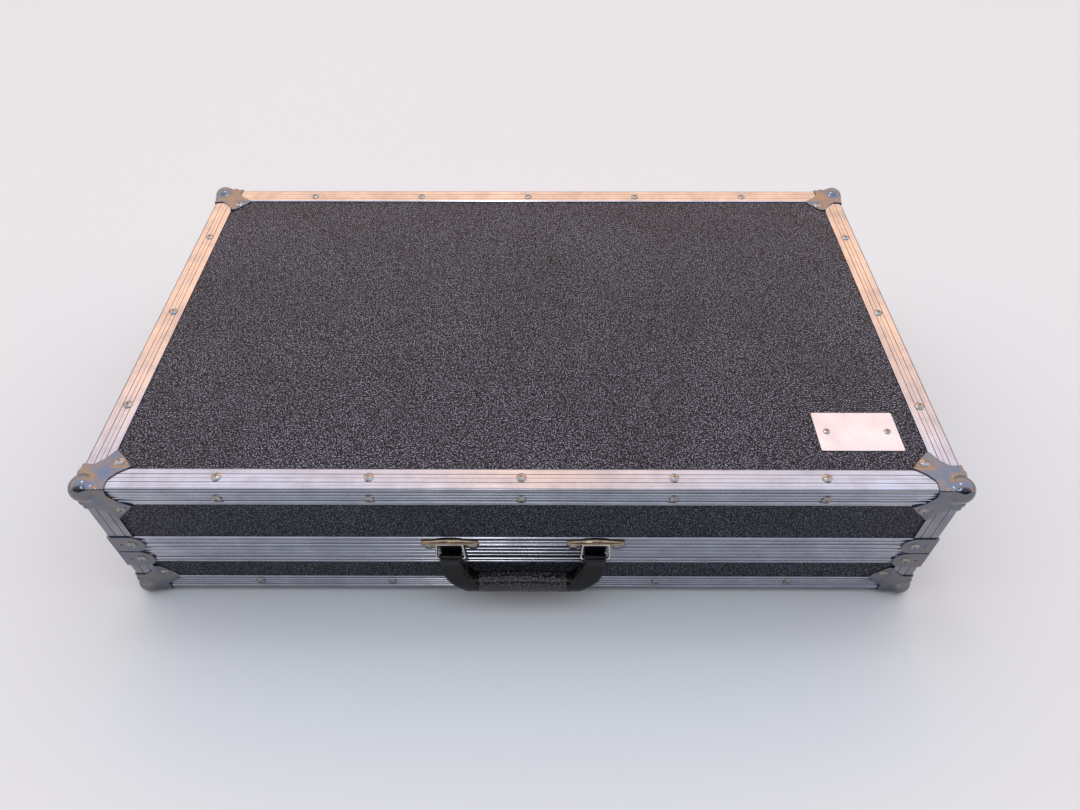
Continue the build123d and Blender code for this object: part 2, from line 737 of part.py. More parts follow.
# Wire rings that hang in the brackets, a little wider at the grip
ring_length = hypot(ring_drop, ring_lean)
ring_up = Vector(0, ring_lean, ring_drop)
eye_y = ring_pivot_y - ring_lean
eye_z = ring_pivot_z - ring_drop
with BuildPart() as handle_rings:
    for middle in bracket_places:
        ring_plane = Plane((middle, ring_pivot_y, ring_pivot_z), x_dir=(1, 0, 0),
                           z_dir=Vector(1, 0, 0).cross(ring_up))
        with BuildLine(ring_plane) as ring_path:
            FilletPolyline((-ring_top_width / 2, 0), (ring_top_width / 2, 0),
                           (ring_bottom_width / 2, -ring_length), (-ring_bottom_width / 2, -ring_length),
                           radius=ring_bend_radius, close=True)
        ring_wire = ring_path.wires()[0]
        with BuildSketch(Plane(ring_wire @ 0, z_dir=ring_wire % 0)):
            Circle(ring_wire_radius)
        sweep(path=ring_wire)
handle_rings.part.label = "handle_rings"
export_step(handle_rings.part, "parts/handle_rings.step")

# Moulded grip: an eye round each ring, a leg that bends inward, and a round bar between collars
leg_x = handle_spacing / 2
grip_y = front_y - grip_out
grip_z = eye_z - grip_drop
grip_corner = grip_radius * grip_corner_share
with BuildPart() as handle_grip:
    for inside, outside, way_out, thickness, corner in grip_leg_sections:
        across = Vector(outside[0] - inside[0], 0, outside[1] - inside[1])
        middle = Vector((inside[0] + outside[0]) / 2, eye_y + way_out * (grip_y - eye_y),
                        grip_z + (inside[1] + outside[1]) / 2)
        with BuildSketch(Plane(middle, x_dir=across, z_dir=across.cross(Vector(0, 1, 0)))):
            RectangleRounded(across.length, thickness, corner)
    loft(ruled=True)
    with BuildSketch(Plane.YZ.offset(leg_x)):
        with Locations((eye_y, eye_z)):
            Circle(grip_eye_radius)
    extrude(amount=grip_leg_width / 2, both=True)
    with BuildSketch(Plane.YZ.offset(leg_x)):
        with Locations((eye_y, eye_z)):
            Circle(ring_wire_radius + pin_fit)
    extrude(amount=grip_leg_width, both=True, mode=Mode.SUBTRACT)
    with BuildSketch(Plane.YZ):
        with Locations((grip_y, grip_z)):
            RectangleRounded(2 * grip_radius, 2 * grip_radius, grip_corner)
    extrude(amount=grip_half_length)
    collar_starts = [grip_half_length - grip_collar_width, grip_half_length - 2 * grip_collar_width - grip_collar_gap]
    for start in collar_starts:
        with BuildSketch(Plane.YZ.offset(start)):
            with Locations((grip_y, grip_z)):
                RectangleRounded(2 * (grip_radius + grip_collar_rise), 2 * (grip_radius + grip_collar_rise),
                                 grip_corner)
        extrude(amount=grip_collar_width)
    mirror(about=Plane.YZ)
handle_grip.part.label = "handle_grip"
export_step(handle_grip.part, "parts/handle_grip.step")

# Latch dishes: the lower holds the latch and its stud, the upper holds the keeper's ledge
rotor_outer = -(latch_recess - cam_floor_gap) + cam_thickness + rotor_thickness
rotor_inner = rotor_outer - rotor_thickness
stud_head_inner = rotor_outer + latch_layer_gap
dish_spans = {
    "latch_dish": (-latch_drop, latch_drop, -latch_drop - dish_flange_below, latch_drop),
    "keeper_dish": (latch_drop + lid_gap, latch_drop + keeper_pocket_height,
                    latch_drop + lid_gap, latch_drop + keeper_pocket_height + dish_flange_above),
}
dish_rivet_rows = {
    "latch_dish": (latch_drop - dish_rivet_split, -latch_drop + dish_rivet_end),
    "keeper_dish": (latch_drop + dish_rivet_split, latch_drop + keeper_pocket_height - dish_rivet_end),
}
dish_rivet_reach = dish_half_width + dish_flange - dish_rivet_inset


def dish_rivet_places(name):
    """Four rivets in the side flanges of one dish on the right end."""
    return [
        latch_plane.location * Location((end * dish_rivet_reach, row, dish_sheet))
        for end in (-1, 1) for row in dish_rivet_rows[name]
    ]


right_pieces = {}
for name, (pocket_low, pocket_high, flange_low, flange_high) in dish_spans.items():
    is_latch = name == "latch_dish"
    far_edge = 0 if is_latch else -1
    with BuildPart() as dish:
        with BuildSketch(latch_plane) as flange_face:
            with Locations((0, flange_low)):
                Rectangle(2 * (dish_half_width + dish_flange), flange_high - flange_low,
                          align=(Align.CENTER, Align.MIN))
            fillet(flange_face.vertices().group_by(Axis.Y)[far_edge], dish_corner_radius)
        extrude(amount=dish_sheet)
        with BuildSketch(latch_plane):
            with Locations((0, pocket_low - (dish_sheet if is_latch else 0))):
                Rectangle(2 * dish_outer, pocket_high - pocket_low + dish_sheet, align=(Align.CENTER, Align.MIN))
        extrude(amount=-(latch_recess + dish_sheet))
        with BuildSketch(latch_plane.offset(dish_sheet)):
            with Locations((0, pocket_low)):
                Rectangle(2 * dish_half_width, pocket_high - pocket_low, align=(Align.CENTER, Align.MIN))
        extrude(amount=-(latch_recess + dish_sheet), mode=Mode.SUBTRACT)
        if is_latch:
            with BuildSketch(latch_plane.offset(-latch_recess)):
                Circle(stud_radius)
            extrude(amount=latch_recess + stud_head_inner)
            with BuildSketch(latch_plane.offset(stud_head_inner)):
                Circle(stud_head_radius)
            extrude(amount=stud_head_height)
        else:
            with BuildSketch(latch_plane.offset(-latch_recess)):
                with Locations((0, latch_drop + keeper_height)):
                    Rectangle(2 * keeper_half_width, keeper_sheet, align=(Align.CENTER, Align.MIN))
            extrude(amount=keeper_reach)
        with Locations(*dish_rivet_places(name)):
            add(small_rivet_hole.part, mode=Mode.SUBTRACT)
    right_pieces[name] = dish.part

# Hook: a frame round the cam, an arm up into the keeper dish and a nose that goes over the ledge
hook_closed = -latch_recess + keeper_reach + keeper_gap
hook_inner = hook_closed + hook_swing_out
cam_lift = hook_lift / 2
frame_half_width = cam_radius + cam_lift + cam_play
frame_half_height = cam_radius + cam_play
frame_top = cam_lift + frame_half_height + hook_frame_wall
nose_low = latch_drop + keeper_height + keeper_sheet + keeper_gap + hook_lift
with BuildPart() as latch_hook_right:
    with BuildSketch(latch_plane.offset(hook_inner)):
        with Locations((0, cam_lift)):
            Rectangle(2 * (frame_half_width + hook_frame_wall), 2 * (frame_half_height + hook_frame_wall))
            Rectangle(2 * frame_half_width, 2 * frame_half_height, mode=Mode.SUBTRACT)
        with Locations((0, frame_top)):
            Rectangle(hook_arm_width, nose_low + hook_sheet - frame_top, align=(Align.CENTER, Align.MIN))
    extrude(amount=hook_sheet)
    with BuildSketch(latch_plane.offset(hook_inner)):
        with Locations((0, nose_low)):
            Rectangle(hook_arm_width, hook_sheet, align=(Align.CENTER, Align.MIN))
    extrude(amount=-hook_nose_reach)
right_pieces["latch_hook"] = latch_hook_right.part

# Rotor: disc and cam on the stud, two ears and the wing's pin between them
wing_axis = stud_head_inner + stud_head_height + latch_layer_gap + wing_barrel_radius
ear_inner = wing_barrel_half_length + wing_ear_gap
wing_axis_plane = Plane(latch_plane.offset(wing_axis).origin, x_dir=(0, 0, 1), z_dir=(0, 1, 0))
with BuildPart() as latch_rotor_right:
    with BuildSketch(latch_plane.offset(rotor_inner)):
        Circle(rotor_radius)
    extrude(amount=rotor_thickness)
    with BuildSketch(latch_plane.offset(rotor_inner)):
        with Locations((0, cam_lift)):
            Circle(cam_radius)
    extrude(amount=-cam_thickness)
    with BuildSketch(latch_plane.offset(rotor_outer)):
        Circle(stud_radius + pin_fit)
    extrude(amount=-(rotor_thickness + cam_thickness), mode=Mode.SUBTRACT)
    for end in (-1, 1):
        with BuildSketch(wing_axis_plane.offset(end * (ear_inner + wing_ear_width / 2))):
            Circle(wing_ear_half_height)
            Rectangle(2 * wing_ear_half_height, wing_axis - rotor_outer, align=(Align.CENTER, Align.MAX))
        extrude(amount=wing_ear_width / 2, both=True)
    with BuildSketch(wing_axis_plane):
        Circle(wing_pin_radius)
    extrude(amount=ear_inner + wing_ear_width, both=True)
right_pieces["latch_rotor"] = latch_rotor_right.part

# Wing: a barrel on the pin and a two-lobed plate that lies folded down over the rotor
with BuildPart() as latch_wing_right:
    with BuildSketch(latch_plane.offset(wing_axis - wing_sheet / 2)):
        with Locations((-wing_lobe_spacing / 2, -wing_lobe_drop), (wing_lobe_spacing / 2, -wing_lobe_drop)):
            Circle(wing_lobe_radius)
        Rectangle(2 * wing_barrel_half_length, wing_lobe_drop, align=(Align.CENTER, Align.MAX))
        for end in (-1, 1):
            with Locations((end * (wing_barrel_half_length + wing_lobe_radius / 2), 0)):
                Rectangle(wing_lobe_radius, 2 * (wing_ear_half_height + wing_ear_clearance), mode=Mode.SUBTRACT)
    extrude(amount=wing_sheet)
    with BuildSketch(wing_axis_plane):
        Circle(wing_barrel_radius)
    extrude(amount=wing_barrel_half_length, both=True)
    with BuildSketch(wing_axis_plane):
        Circle(wing_pin_radius + pin_fit)
    extrude(amount=wing_barrel_half_length, both=True, mode=Mode.SUBTRACT)
right_pieces["latch_wing"] = latch_wing_right.part

for name, form in right_pieces.items():
    with BuildPart() as right_piece:
        add(form)
    right_piece.part.label = f"{name}_right"
    export_step(right_piece.part, f"parts/{name}_right.step")

    with BuildPart() as left_piece:
        mirror(form, about=Plane.YZ)
    left_piece.part.label = f"{name}_left"
    export_step(left_piece.part, f"parts/{name}_left.step")

# Small and bracket rivets of the fittings
with BuildPart() as base_fitting_rivets:
    with Locations(*dish_rivet_places("latch_dish")):
        add(small_rivet.part)
    mirror(about=Plane.YZ)
    with Locations(*hinge_rivet_places(-1)):
        add(small_rivet.part)
base_fitting_rivets.part.label = "base_fitting_rivets"
export_step(base_fitting_rivets.part, "parts/base_fitting_rivets.step")

with BuildPart() as lid_fitting_rivets:
    with Locations(*dish_rivet_places("keeper_dish")):
        add(small_rivet.part)
    mirror(about=Plane.YZ)
    with Locations(*hinge_rivet_places(1), *plate_rivet_places):
        add(small_rivet.part)
    with Locations(*bracket_rivet_places):
        add(rivet.part)
lid_fitting_rivets.part.label = "lid_fitting_rivets"
export_step(lid_fitting_rivets.part, "parts/lid_fitting_rivets.step")
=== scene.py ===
"""Looks of a low flight case: finishes, pressed corners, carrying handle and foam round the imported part."""

import logging
from dataclasses import dataclass
from enum import Enum

import bmesh
import bpy
import numpy as np
from mathutils import Matrix, Vector


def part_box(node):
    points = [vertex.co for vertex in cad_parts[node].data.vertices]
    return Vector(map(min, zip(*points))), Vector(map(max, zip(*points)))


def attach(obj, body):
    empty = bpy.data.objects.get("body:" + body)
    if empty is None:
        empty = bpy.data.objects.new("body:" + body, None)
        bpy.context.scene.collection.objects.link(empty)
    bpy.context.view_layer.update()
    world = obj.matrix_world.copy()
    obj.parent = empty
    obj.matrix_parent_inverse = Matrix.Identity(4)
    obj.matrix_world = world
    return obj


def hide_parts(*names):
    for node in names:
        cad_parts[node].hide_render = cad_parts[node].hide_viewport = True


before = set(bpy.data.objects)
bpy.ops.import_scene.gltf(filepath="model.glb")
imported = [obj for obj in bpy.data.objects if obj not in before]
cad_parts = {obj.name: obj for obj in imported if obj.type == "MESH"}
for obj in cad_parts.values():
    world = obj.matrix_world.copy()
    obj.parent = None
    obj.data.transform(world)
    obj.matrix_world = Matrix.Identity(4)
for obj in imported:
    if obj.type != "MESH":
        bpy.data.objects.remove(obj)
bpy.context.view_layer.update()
LOG = logging.getLogger("flight_case")
MM = 0.001
CASE_HALF_WIDTH = 400.0
CASE_FRONT = -231.2
CASE_BACK = 246.8
CASE_BOTTOM = 6.2
CASE_TOP = 182.2
SPLIT = 79.2
# number of points that round each corner of an outline
ROUNDING_POINTS = 7
# sockets of a Mix node for colours: the share, both tones, and the output
SHARE = 0
FIRST = 6
SECOND = 7
MIXED = 2


def linear(colour: str) -> tuple[float, float, float, float]:
    """Turn an sRGB hex colour into the linear one that shaders take.

    Args:
        colour: Hex colour such as "#8a8d92".

    Returns:
        Linear red, green, blue and an alpha of 1.
    """
    parts = [int(colour[place:place + 2], 16) / 255 for place in (1, 3, 5)]
    red, green, blue = (v / 12.92 if v <= 0.04045 else ((v + 0.055) / 1.055) ** 2.4 for v in parts)
    return red, green, blue, 1.0


def two_tones(first: str, second: str) -> dict:
    """Settings of a Mix node that turns one hex colour into another."""
    return {"data_type": "RGBA", FIRST: linear(first), SECOND: linear(second)}


def stretch(low: float, high: float, out_low: float = 0.0, out_high: float = 1.0) -> dict:
    """Settings of a Map Range node that carries one span of values to another."""
    return {"From Min": low, "From Max": high, "To Min": out_low, "To Max": out_high}


def add_node(tree: bpy.types.NodeTree, kind: str, settings: dict | None = None,
             links: dict | None = None) -> bpy.types.Node:
    """Add a node to a tree with its settings and the sockets that feed it.

    Args:
        tree: Node tree that gets the node.
        kind: Blender's type name of the node.
        settings: Input names, input numbers or properties, and their values.
        links: Input names or numbers, and the output socket that feeds each.

    Returns:
        The new node.
    """
    node = tree.nodes.new(kind)
    for key, value in (settings or {}).items():
        if isinstance(key, int) or key in node.inputs:
            node.inputs[key].default_value = value
        else:
            setattr(node, key, value)
    for key, source in (links or {}).items():
        tree.links.new(source, node.inputs[key])
    return node


def start_material(name: str) -> tuple[bpy.types.Material, bpy.types.NodeTree, bpy.types.NodeSocket]:
    """Start an empty material with Object coordinates.

    Args:
        name: Name of the material.

    Returns:
        The material, its tree and the Object coordinates socket.
    """
    material = bpy.data.materials.new(name)
    material.use_nodes = True
    tree = material.node_tree
    tree.nodes.clear()
    return material, tree, add_node(tree, "ShaderNodeTexCoord").outputs["Object"]


def close_material(tree: bpy.types.NodeTree, tones: tuple[str, str], share: bpy.types.NodeSocket,
                   relief: tuple[float, float], height: bpy.types.NodeSocket, settings: dict,
                   roughness: tuple[float, float] | None = None) -> None:
    """Close a material whose tone, relief and roughness follow its patterns.

    Args:
        tree: Node tree of the material.
        tones: The two sRGB hex colours.
        share: Socket with the share of the second tone.
        relief: Strength of the relief, and its height in millimetres.
        height: Socket with the pattern of the relief.
        settings: Settings of the Principled shader.
        roughness: Roughness of the first and of the second tone, where it follows the share.
    """
    colour = add_node(tree, "ShaderNodeMix", two_tones(*tones), {SHARE: share})
    bump = add_node(tree, "ShaderNodeBump", {"Strength": relief[0], "Distance": relief[1] * MM},
                    {"Height": height})
    links = {"Base Color": colour.outputs[MIXED], "Normal": bump.outputs[0]}
    if roughness:
        rough = add_node(tree, "ShaderNodeMapRange", stretch(0.0, 1.0, *roughness), {"Value": share})
        links["Roughness"] = rough.outputs[0]
    shader = add_node(tree, "ShaderNodeBsdfPrincipled", settings, links)
    add_node(tree, "ShaderNodeOutputMaterial", None, {"Surface": shader.outputs["BSDF"]})


class Run(Enum):
    """Direction in which an extrusion was drawn, as how far a pattern is stretched along x, y and z."""

    ALONG_X = (0.01, 1.0, 1.0)
    ALONG_Y = (1.0, 0.01, 1.0)
    UPRIGHT = (1.0, 1.0, 0.01)


@dataclass(frozen=True)
class PebbleLaminate:
    """PVC laminate on birch ply, embossed with a pebble grain: matt black, with a paler painted sheen on the
    grain's high spots.
    """

    ground: str = "#16161a"
    # paler tone on the grain's high spots: a painted sheen, standing in for light caught by the embossing
    painted_sheen: str = "#8a8fa2"
    grain_mm: float = 1.35
    grain_height_mm: float = 0.2
    painted_sheen_span: tuple[float, float] = (0.53, 0.66)
    cloud_mm: float = 111.11111
    cloud_fade: tuple[float, float, float, float] = (0.3, 0.7, 0.8, 1.1)
    roughness: float = 0.45
    # lower than smooth vinyl's, because the embossing scatters most of the mirrored light
    specular: float = 0.12

    def material(self) -> bpy.types.Material:
        """Build the laminate: noise as wide as the grain paints a paler sheen on the high spots and lifts
        them.

        Returns:
            The finish.
        """
        material, tree, coords = start_material("pebble_laminate")
        grain = add_node(tree, "ShaderNodeTexNoise",
                         {"Scale": 1 / (self.grain_mm * MM), "Detail": 1.0, "Roughness": 0.6},
                         {"Vector": coords})
        sheen_peaks = add_node(tree, "ShaderNodeMapRange", stretch(*self.painted_sheen_span), {"Value": grain.outputs[0]})
        cloud = add_node(tree, "ShaderNodeTexNoise", {"Scale": 1 / (self.cloud_mm * MM), "Detail": 3.0},
                         {"Vector": coords})
        fade = add_node(tree, "ShaderNodeMapRange", stretch(*self.cloud_fade), {"Value": cloud.outputs[0]})
        amount = add_node(tree, "ShaderNodeMath", {"operation": "MULTIPLY", "use_clamp": True},
                          {0: sheen_peaks.outputs[0], 1: fade.outputs[0]})
        close_material(tree, (self.ground, self.painted_sheen), amount.outputs[0],
                       (0.7, self.grain_height_mm), grain.outputs[0],
                       {"Roughness": self.roughness, "IOR": 1.5, "Specular IOR Level": self.specular})
        return material


@dataclass(frozen=True)
class DrawnAluminium:
    """Bright mill-finish extruded aluminium: fine die lines along its length soften its reflections."""

    run: Run
    name: str = "drawn_aluminium"
    bright: str = "#bdbec6"
    dull: str = "#9d9ea7"
    line_mm: float = 0.7
    roughness: tuple[float, float] = (0.14, 0.26)
    line_depth_mm: float = 0.03
    line_share: float = 0.6
    cloud_mm: float = 28.571429
    dull_span: tuple[float, float] = (0.55, 1.05)

    def material(self) -> bpy.types.Material:
        """Build the aluminium: noise stretched along the draw makes its lines, and a cloud its dull places.

        Returns:
            The finish.
        """
        material, tree, coords = start_material(f"{self.name}_{self.run.name.lower()}")
        along = add_node(tree, "ShaderNodeMapping", {"Scale": self.run.value}, {"Vector": coords})
        lines = add_node(tree, "ShaderNodeTexNoise", {"Scale": 1 / (self.line_mm * MM), "Detail": 3.0},
                         {"Vector": along.outputs[0]})
        cloud = add_node(tree, "ShaderNodeTexNoise",
                         {"Scale": 1 / (self.cloud_mm * MM), "Detail": 4.0, "Roughness": 0.6},
                         {"Vector": coords})
        both = add_node(tree, "ShaderNodeMath", {"operation": "MULTIPLY_ADD", 1: self.line_share},
                        {0: lines.outputs[0], 2: cloud.outputs[0]})
        worn = add_node(tree, "ShaderNodeMapRange", stretch(*self.dull_span), {"Value": both.outputs[0]})
        close_material(tree, (self.bright, self.dull), worn.outputs[0], (0.35, self.line_depth_mm),
                       lines.outputs[0], {"Metallic": 1.0}, self.roughness)
        return material


@dataclass(frozen=True)
class PlatedSteel:
    """Pressed steel with a plated skin: smooth and bright, with cloudy patches of another tone."""

    name: str
    bright: str
    patch: str
    patch_mm: float
    roughness: tuple[float, float]
    ripple_height_mm: float = 0.02
    ripple_mm: float = 2.2222222
    patch_span: tuple[float, float] = (0.38, 0.66)

    def material(self) -> bpy.types.Material:
        """Build the plating: one cloud turns its tone and roughness, and a ripple bends its reflections.

        Returns:
            The finish.
        """
        material, tree, coords = start_material(self.name)
        cloud = add_node(tree, "ShaderNodeTexNoise",
                         {"Scale": 1 / (self.patch_mm * MM), "Detail": 4.0, "Roughness": 0.65},
                         {"Vector": coords})
        amount = add_node(tree, "ShaderNodeMapRange", stretch(*self.patch_span), {"Value": cloud.outputs[0]})
        ripple = add_node(tree, "ShaderNodeTexNoise", {"Scale": 1 / (self.ripple_mm * MM), "Detail": 2.0},
                          {"Vector": coords})
        close_material(tree, (self.bright, self.patch), amount.outputs[0], (0.3, self.ripple_height_mm),
                       ripple.outputs[0], {"Metallic": 1.0}, self.roughness)
        return material


@dataclass(frozen=True)
class MouldedVinyl:
    """Soft PVC moulded over the handle's core: deep black and satin, with a fine skin and paler spots: real
    scuffs, and on the grained bar a painted sparkle.
    """

    name: str
    colour: str
    scuff_and_sparkle: str
    scuff_and_sparkle_mm: float
    grain_height_mm: float
    specular: float
    roughness: tuple[float, float]
    grain_mm: float = 1.1
    scuff_and_sparkle_span: tuple[float, float] = (0.5, 0.68)

    def material(self) -> bpy.types.Material:
        """Build the vinyl: cells as wide as the grain make its skin, and a cloud its scuffs.

        Returns:
            Build the vinyl: cells as wide as the grain make its skin, and a cloud its scuffs and painted
                sparkle.
        """
        material, tree, coords = start_material(self.name)
        cells = add_node(tree, "ShaderNodeTexVoronoi", {"Scale": 1 / (self.grain_mm * MM)},
                         {"Vector": coords})
        cloud = add_node(tree, "ShaderNodeTexNoise", {"Scale": 1 / (self.scuff_and_sparkle_mm * MM), "Detail": 2.0},
                         {"Vector": coords})
        amount = add_node(tree, "ShaderNodeMapRange", stretch(*self.scuff_and_sparkle_span), {"Value": cloud.outputs[0]})
        close_material(tree, (self.colour, self.scuff_and_sparkle), amount.outputs[0], (0.6, self.grain_height_mm),
                       cells.outputs["Distance"], {"IOR": 1.5, "Specular IOR Level": self.specular},
                       self.roughness)
        return material


@dataclass(frozen=True)
class OpenCellFoam:
    """Charcoal polyether foam: matt, with a skin of cut cells whose hollows are darkened with painted shade.

    Real cells are finer: they are drawn as coarse as they need to show.
    """

    wall: str = "#4b4b51"
    # tone of the cells' hollows: painted shade
    cell_hollow_shade: str = "#1b1b1e"
    cell_mm: float = 1.6
    cell_depth_mm: float = 0.4
    speck_mm: float = 1.1111111
    wall_span: tuple[float, float] = (0.1, 0.36)

    def material(self) -> bpy.types.Material:
        """Build the foam: the distance from each cell's middle, broken up by fine noise, sinks each hollow
        and darkens it with painted shade.

        Returns:
            The finish.
        """
        material, tree, coords = start_material("open_cell_foam")
        cells = add_node(tree, "ShaderNodeTexVoronoi", {"Scale": 1 / (self.cell_mm * MM)}, {"Vector": coords})
        specks = add_node(tree, "ShaderNodeTexNoise", {"Scale": 1 / (self.speck_mm * MM), "Detail": 3.0},
                          {"Vector": coords})
        depth = add_node(tree, "ShaderNodeMath", {"operation": "MULTIPLY"},
                         {0: cells.outputs["Distance"], 1: specks.outputs[0]})
        amount = add_node(tree, "ShaderNodeMapRange", stretch(*self.wall_span), {"Value": depth.outputs[0]})
        close_material(tree, (self.cell_hollow_shade, self.wall), amount.outputs[0], (0.8, self.cell_depth_mm),
                       depth.outputs[0], {"Roughness": 0.95, "IOR": 1.4})
        return material


# zinc plate on pressed steel: blue-grey, with brownish patches where handling has dulled it
ZINC = PlatedSteel("zinc_plated_steel", "#6b7382", "#807974", patch_mm=12.0, roughness=(0.08, 0.24))
# bright nickel plate on drawn wire: nearly a mirror, with a faint warm tone
NICKEL = PlatedSteel("nickel_plated_steel", "#dedad4", "#c2bbb0", patch_mm=8.0, roughness=(0.05, 0.14),
                     ripple_height_mm=0.008)
# nickel plate on the folded brackets, darkened and tinted golden brown by a painted reflection of warm
# surroundings: a muted golden grey
REFLECTION_TINTED_NICKEL = PlatedSteel("nickel_with_painted_reflection", "#a8987f", "#84705c", patch_mm=6.0, roughness=(0.08, 0.18),
                          ripple_height_mm=0.008)
# plated heads of pop rivets: plain grey and glossy
RIVET_STEEL = PlatedSteel("bright_rivet_steel", "#a19d9a", "#7d7a77", patch_mm=4.0, roughness=(0.06, 0.16))
# smooth PVC of the straps: deep black with a soft gloss
STRAP_VINYL = MouldedVinyl("smooth_vinyl", "#070708", "#101013", scuff_and_sparkle_mm=14.0, grain_height_mm=0.02,
                           specular=0.28, roughness=(0.2, 0.32))
# grained PVC of the bar: black with fine grey spots that shine, a painted sparkle standing in for highlights
# on the pebbles
BAR_VINYL = MouldedVinyl("grained_vinyl", "#0c0b0c", "#5c5858", scuff_and_sparkle_mm=1.5, grain_height_mm=0.16,
                         specular=0.5, roughness=(0.16, 0.3))
# satin-brushed aluminium plate: pale, with a broad soft sheen
SATIN_PLATE = DrawnAluminium(Run.ALONG_X, "satin_name_plate", "#d9d7dd", "#c6c4ca", line_mm=0.5,
                             roughness=(0.38, 0.5))


def dress(nodes: list[str], material: bpy.types.Material) -> None:
    """Give CAD nodes a finish in all their material slots.

    Args:
        nodes: Names of the nodes.
        material: The finish.
    """
    for name in nodes:
        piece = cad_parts[name]
        if not piece.material_slots:
            piece.data.materials.append(material)
        for place in piece.material_slots:
            place.material = material
        LOG.info("%s wears %s", name, material.name)


def grid_faces(rows: int, columns: int, wrap_rows: bool, wrap_columns: bool,
               flip: bool = False) -> np.ndarray:
    """Make the quads of a grid of points that are stored row by row.

    Args:
        rows: Number of rows.
        columns: Number of points in a row.
        wrap_rows: Whether the last row meets the first.
        wrap_columns: Whether the last point of a row meets its first.
        flip: Whether the faces look the other way.

    Returns:
        One row of four point numbers for each quad.
    """
    row, column = np.meshgrid(np.arange(rows if wrap_rows else rows - 1),
                              np.arange(columns if wrap_columns else columns - 1), indexing="ij")
    next_row, next_column = (row + 1) % rows, (column + 1) % columns
    quads = np.stack((row * columns + column, row * columns + next_column,
                      next_row * columns + next_column, next_row * columns + column), -1).reshape(-1, 4)
    return quads[:, ::-1] if flip else quads


def make_piece(name: str, points: np.ndarray, faces: np.ndarray, material: bpy.types.Material,
               body: str, material_slot: str, nodes: list[str]) -> bpy.types.Object:
    """Make a smooth piece from points in millimetres that rides on a body and stands for CAD nodes.

    Args:
        name: Name of the piece.
        points: Points in the part's frame, in millimetres.
        faces: Point numbers of each face.
        material: Its finish.
        body: CAD body that it rides on.
        material_slot: Slot of the record that its finish belongs to; not used.
        nodes: CAD nodes that it stands for.

    Returns:
        The piece.
    """
    mesh = bpy.data.meshes.new(name)
    mesh.from_pydata((points.reshape(-1, 3) * MM).tolist(), [], [list(face) for face in faces])
    mesh.shade_smooth()
    mesh.materials.append(material)
    piece = bpy.data.objects.new(name, mesh)
    bpy.context.scene.collection.objects.link(piece)
    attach(piece, body)
    if nodes:
        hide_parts(*nodes)
    LOG.info("%s made with %d faces", name, len(faces))
    return piece


def merge_close(piece: bpy.types.Object, distance_mm: float = 0.02) -> None:
    """Merge a piece's doubled points and turn its faces outwards.

    Args:
        piece: The piece.
        distance_mm: Points nearer than this become one.
    """
    shape = bmesh.new()
    shape.from_mesh(piece.data)
    bmesh.ops.remove_doubles(shape, verts=shape.verts, dist=distance_mm * MM)
    bmesh.ops.recalc_face_normals(shape, faces=shape.faces)
    shape.to_mesh(piece.data)
    shape.free()


def give_wall(piece: bpy.types.Object, name: str, thickness_mm: float, side: int) -> None:
    """Give a surface its wall.

    Args:
        piece: The piece.
        name: Name of the wall.
        thickness_mm: Its thickness.
        side: 1 where the wall grows outwards, -1 where it grows inwards.
    """
    wall = piece.modifiers.new(name, "SOLIDIFY")
    wall.thickness = thickness_mm * MM
    wall.offset = side


def smooth_step(value: np.ndarray, low: float, high: float) -> np.ndarray:
    """Rise smoothly from 0 at low to 1 at high."""
    share = np.clip((value - low) / (high - low), 0, 1)
    return share * share * (3 - 2 * share)


def through_keys(keys: np.ndarray, values: np.ndarray, places: np.ndarray) -> np.ndarray:
    """Interpolate rows of values smoothly and without overshoot.

    Between two keys the curve is a cubic whose end slopes are the smaller of the two neighbouring slopes, or
    none where these differ in sign.

    Args:
        keys: Rising places of the keys.
        values: One row of values for each key.
        places: Where to read the curve.

    Returns:
        One row of values for each place.
    """
    steps = np.diff(keys)[:, None]
    slopes = np.diff(values, axis=0) / steps
    before, after = slopes[:-1], slopes[1:]
    inner = np.where(before * after > 0, np.sign(before) * np.minimum(np.abs(before), np.abs(after)), 0)
    tangents = np.concatenate((slopes[:1], inner, slopes[-1:]))
    span = np.clip(np.searchsorted(keys, places, side="right") - 1, 0, len(keys) - 2)
    share = ((places - keys[span]) / steps[span, 0])[:, None]
    square, cube = share**2, share**3
    return ((2 * cube - 3 * square + 1) * values[span]
            + (cube - 2 * square + share) * steps[span] * tangents[span]
            + (3 * square - 2 * cube) * values[span + 1]
            + (cube - square) * steps[span] * tangents[span + 1])


def rounded_outline(corners: np.ndarray, cut: np.ndarray, count: int, closed: bool) -> np.ndarray:
    """Round the corners of an outline and space points evenly along it.

    Each corner becomes a quadratic curve that starts and ends its cut away from the corner.

    Args:
        corners: Corner points, one row each.
        cut: How far from each corner its rounding starts.
        count: Number of points along the outline.
        closed: Whether the last corner leads back to the first.

    Returns:
        The points, one row each.
    """
    before, after = np.roll(corners, 1, 0) - corners, np.roll(corners, -1, 0) - corners
    start = corners + before / np.linalg.norm(before, axis=1, keepdims=True) * cut[:, None]
    end = corners + after / np.linalg.norm(after, axis=1, keepdims=True) * cut[:, None]
    if not closed:
        start[0], end[0], start[-1], end[-1] = corners[0], corners[0], corners[-1], corners[-1]
    share = np.linspace(0, 1, ROUNDING_POINTS)[None, :, None]
    curve = ((1 - share) ** 2 * start[:, None] + 2 * share * (1 - share) * corners[:, None]
             + share**2 * end[:, None]).reshape(-1, corners.shape[1])
    if closed:
        curve = np.concatenate((curve, curve[:1]))
    length = np.concatenate(([0], np.cumsum(np.linalg.norm(np.diff(curve, axis=0), axis=1))))
    places = np.linspace(0, length[-1], count, endpoint=not closed)
    return np.stack([np.interp(places, length, curve[:, axis]) for axis in range(corners.shape[1])], -1)


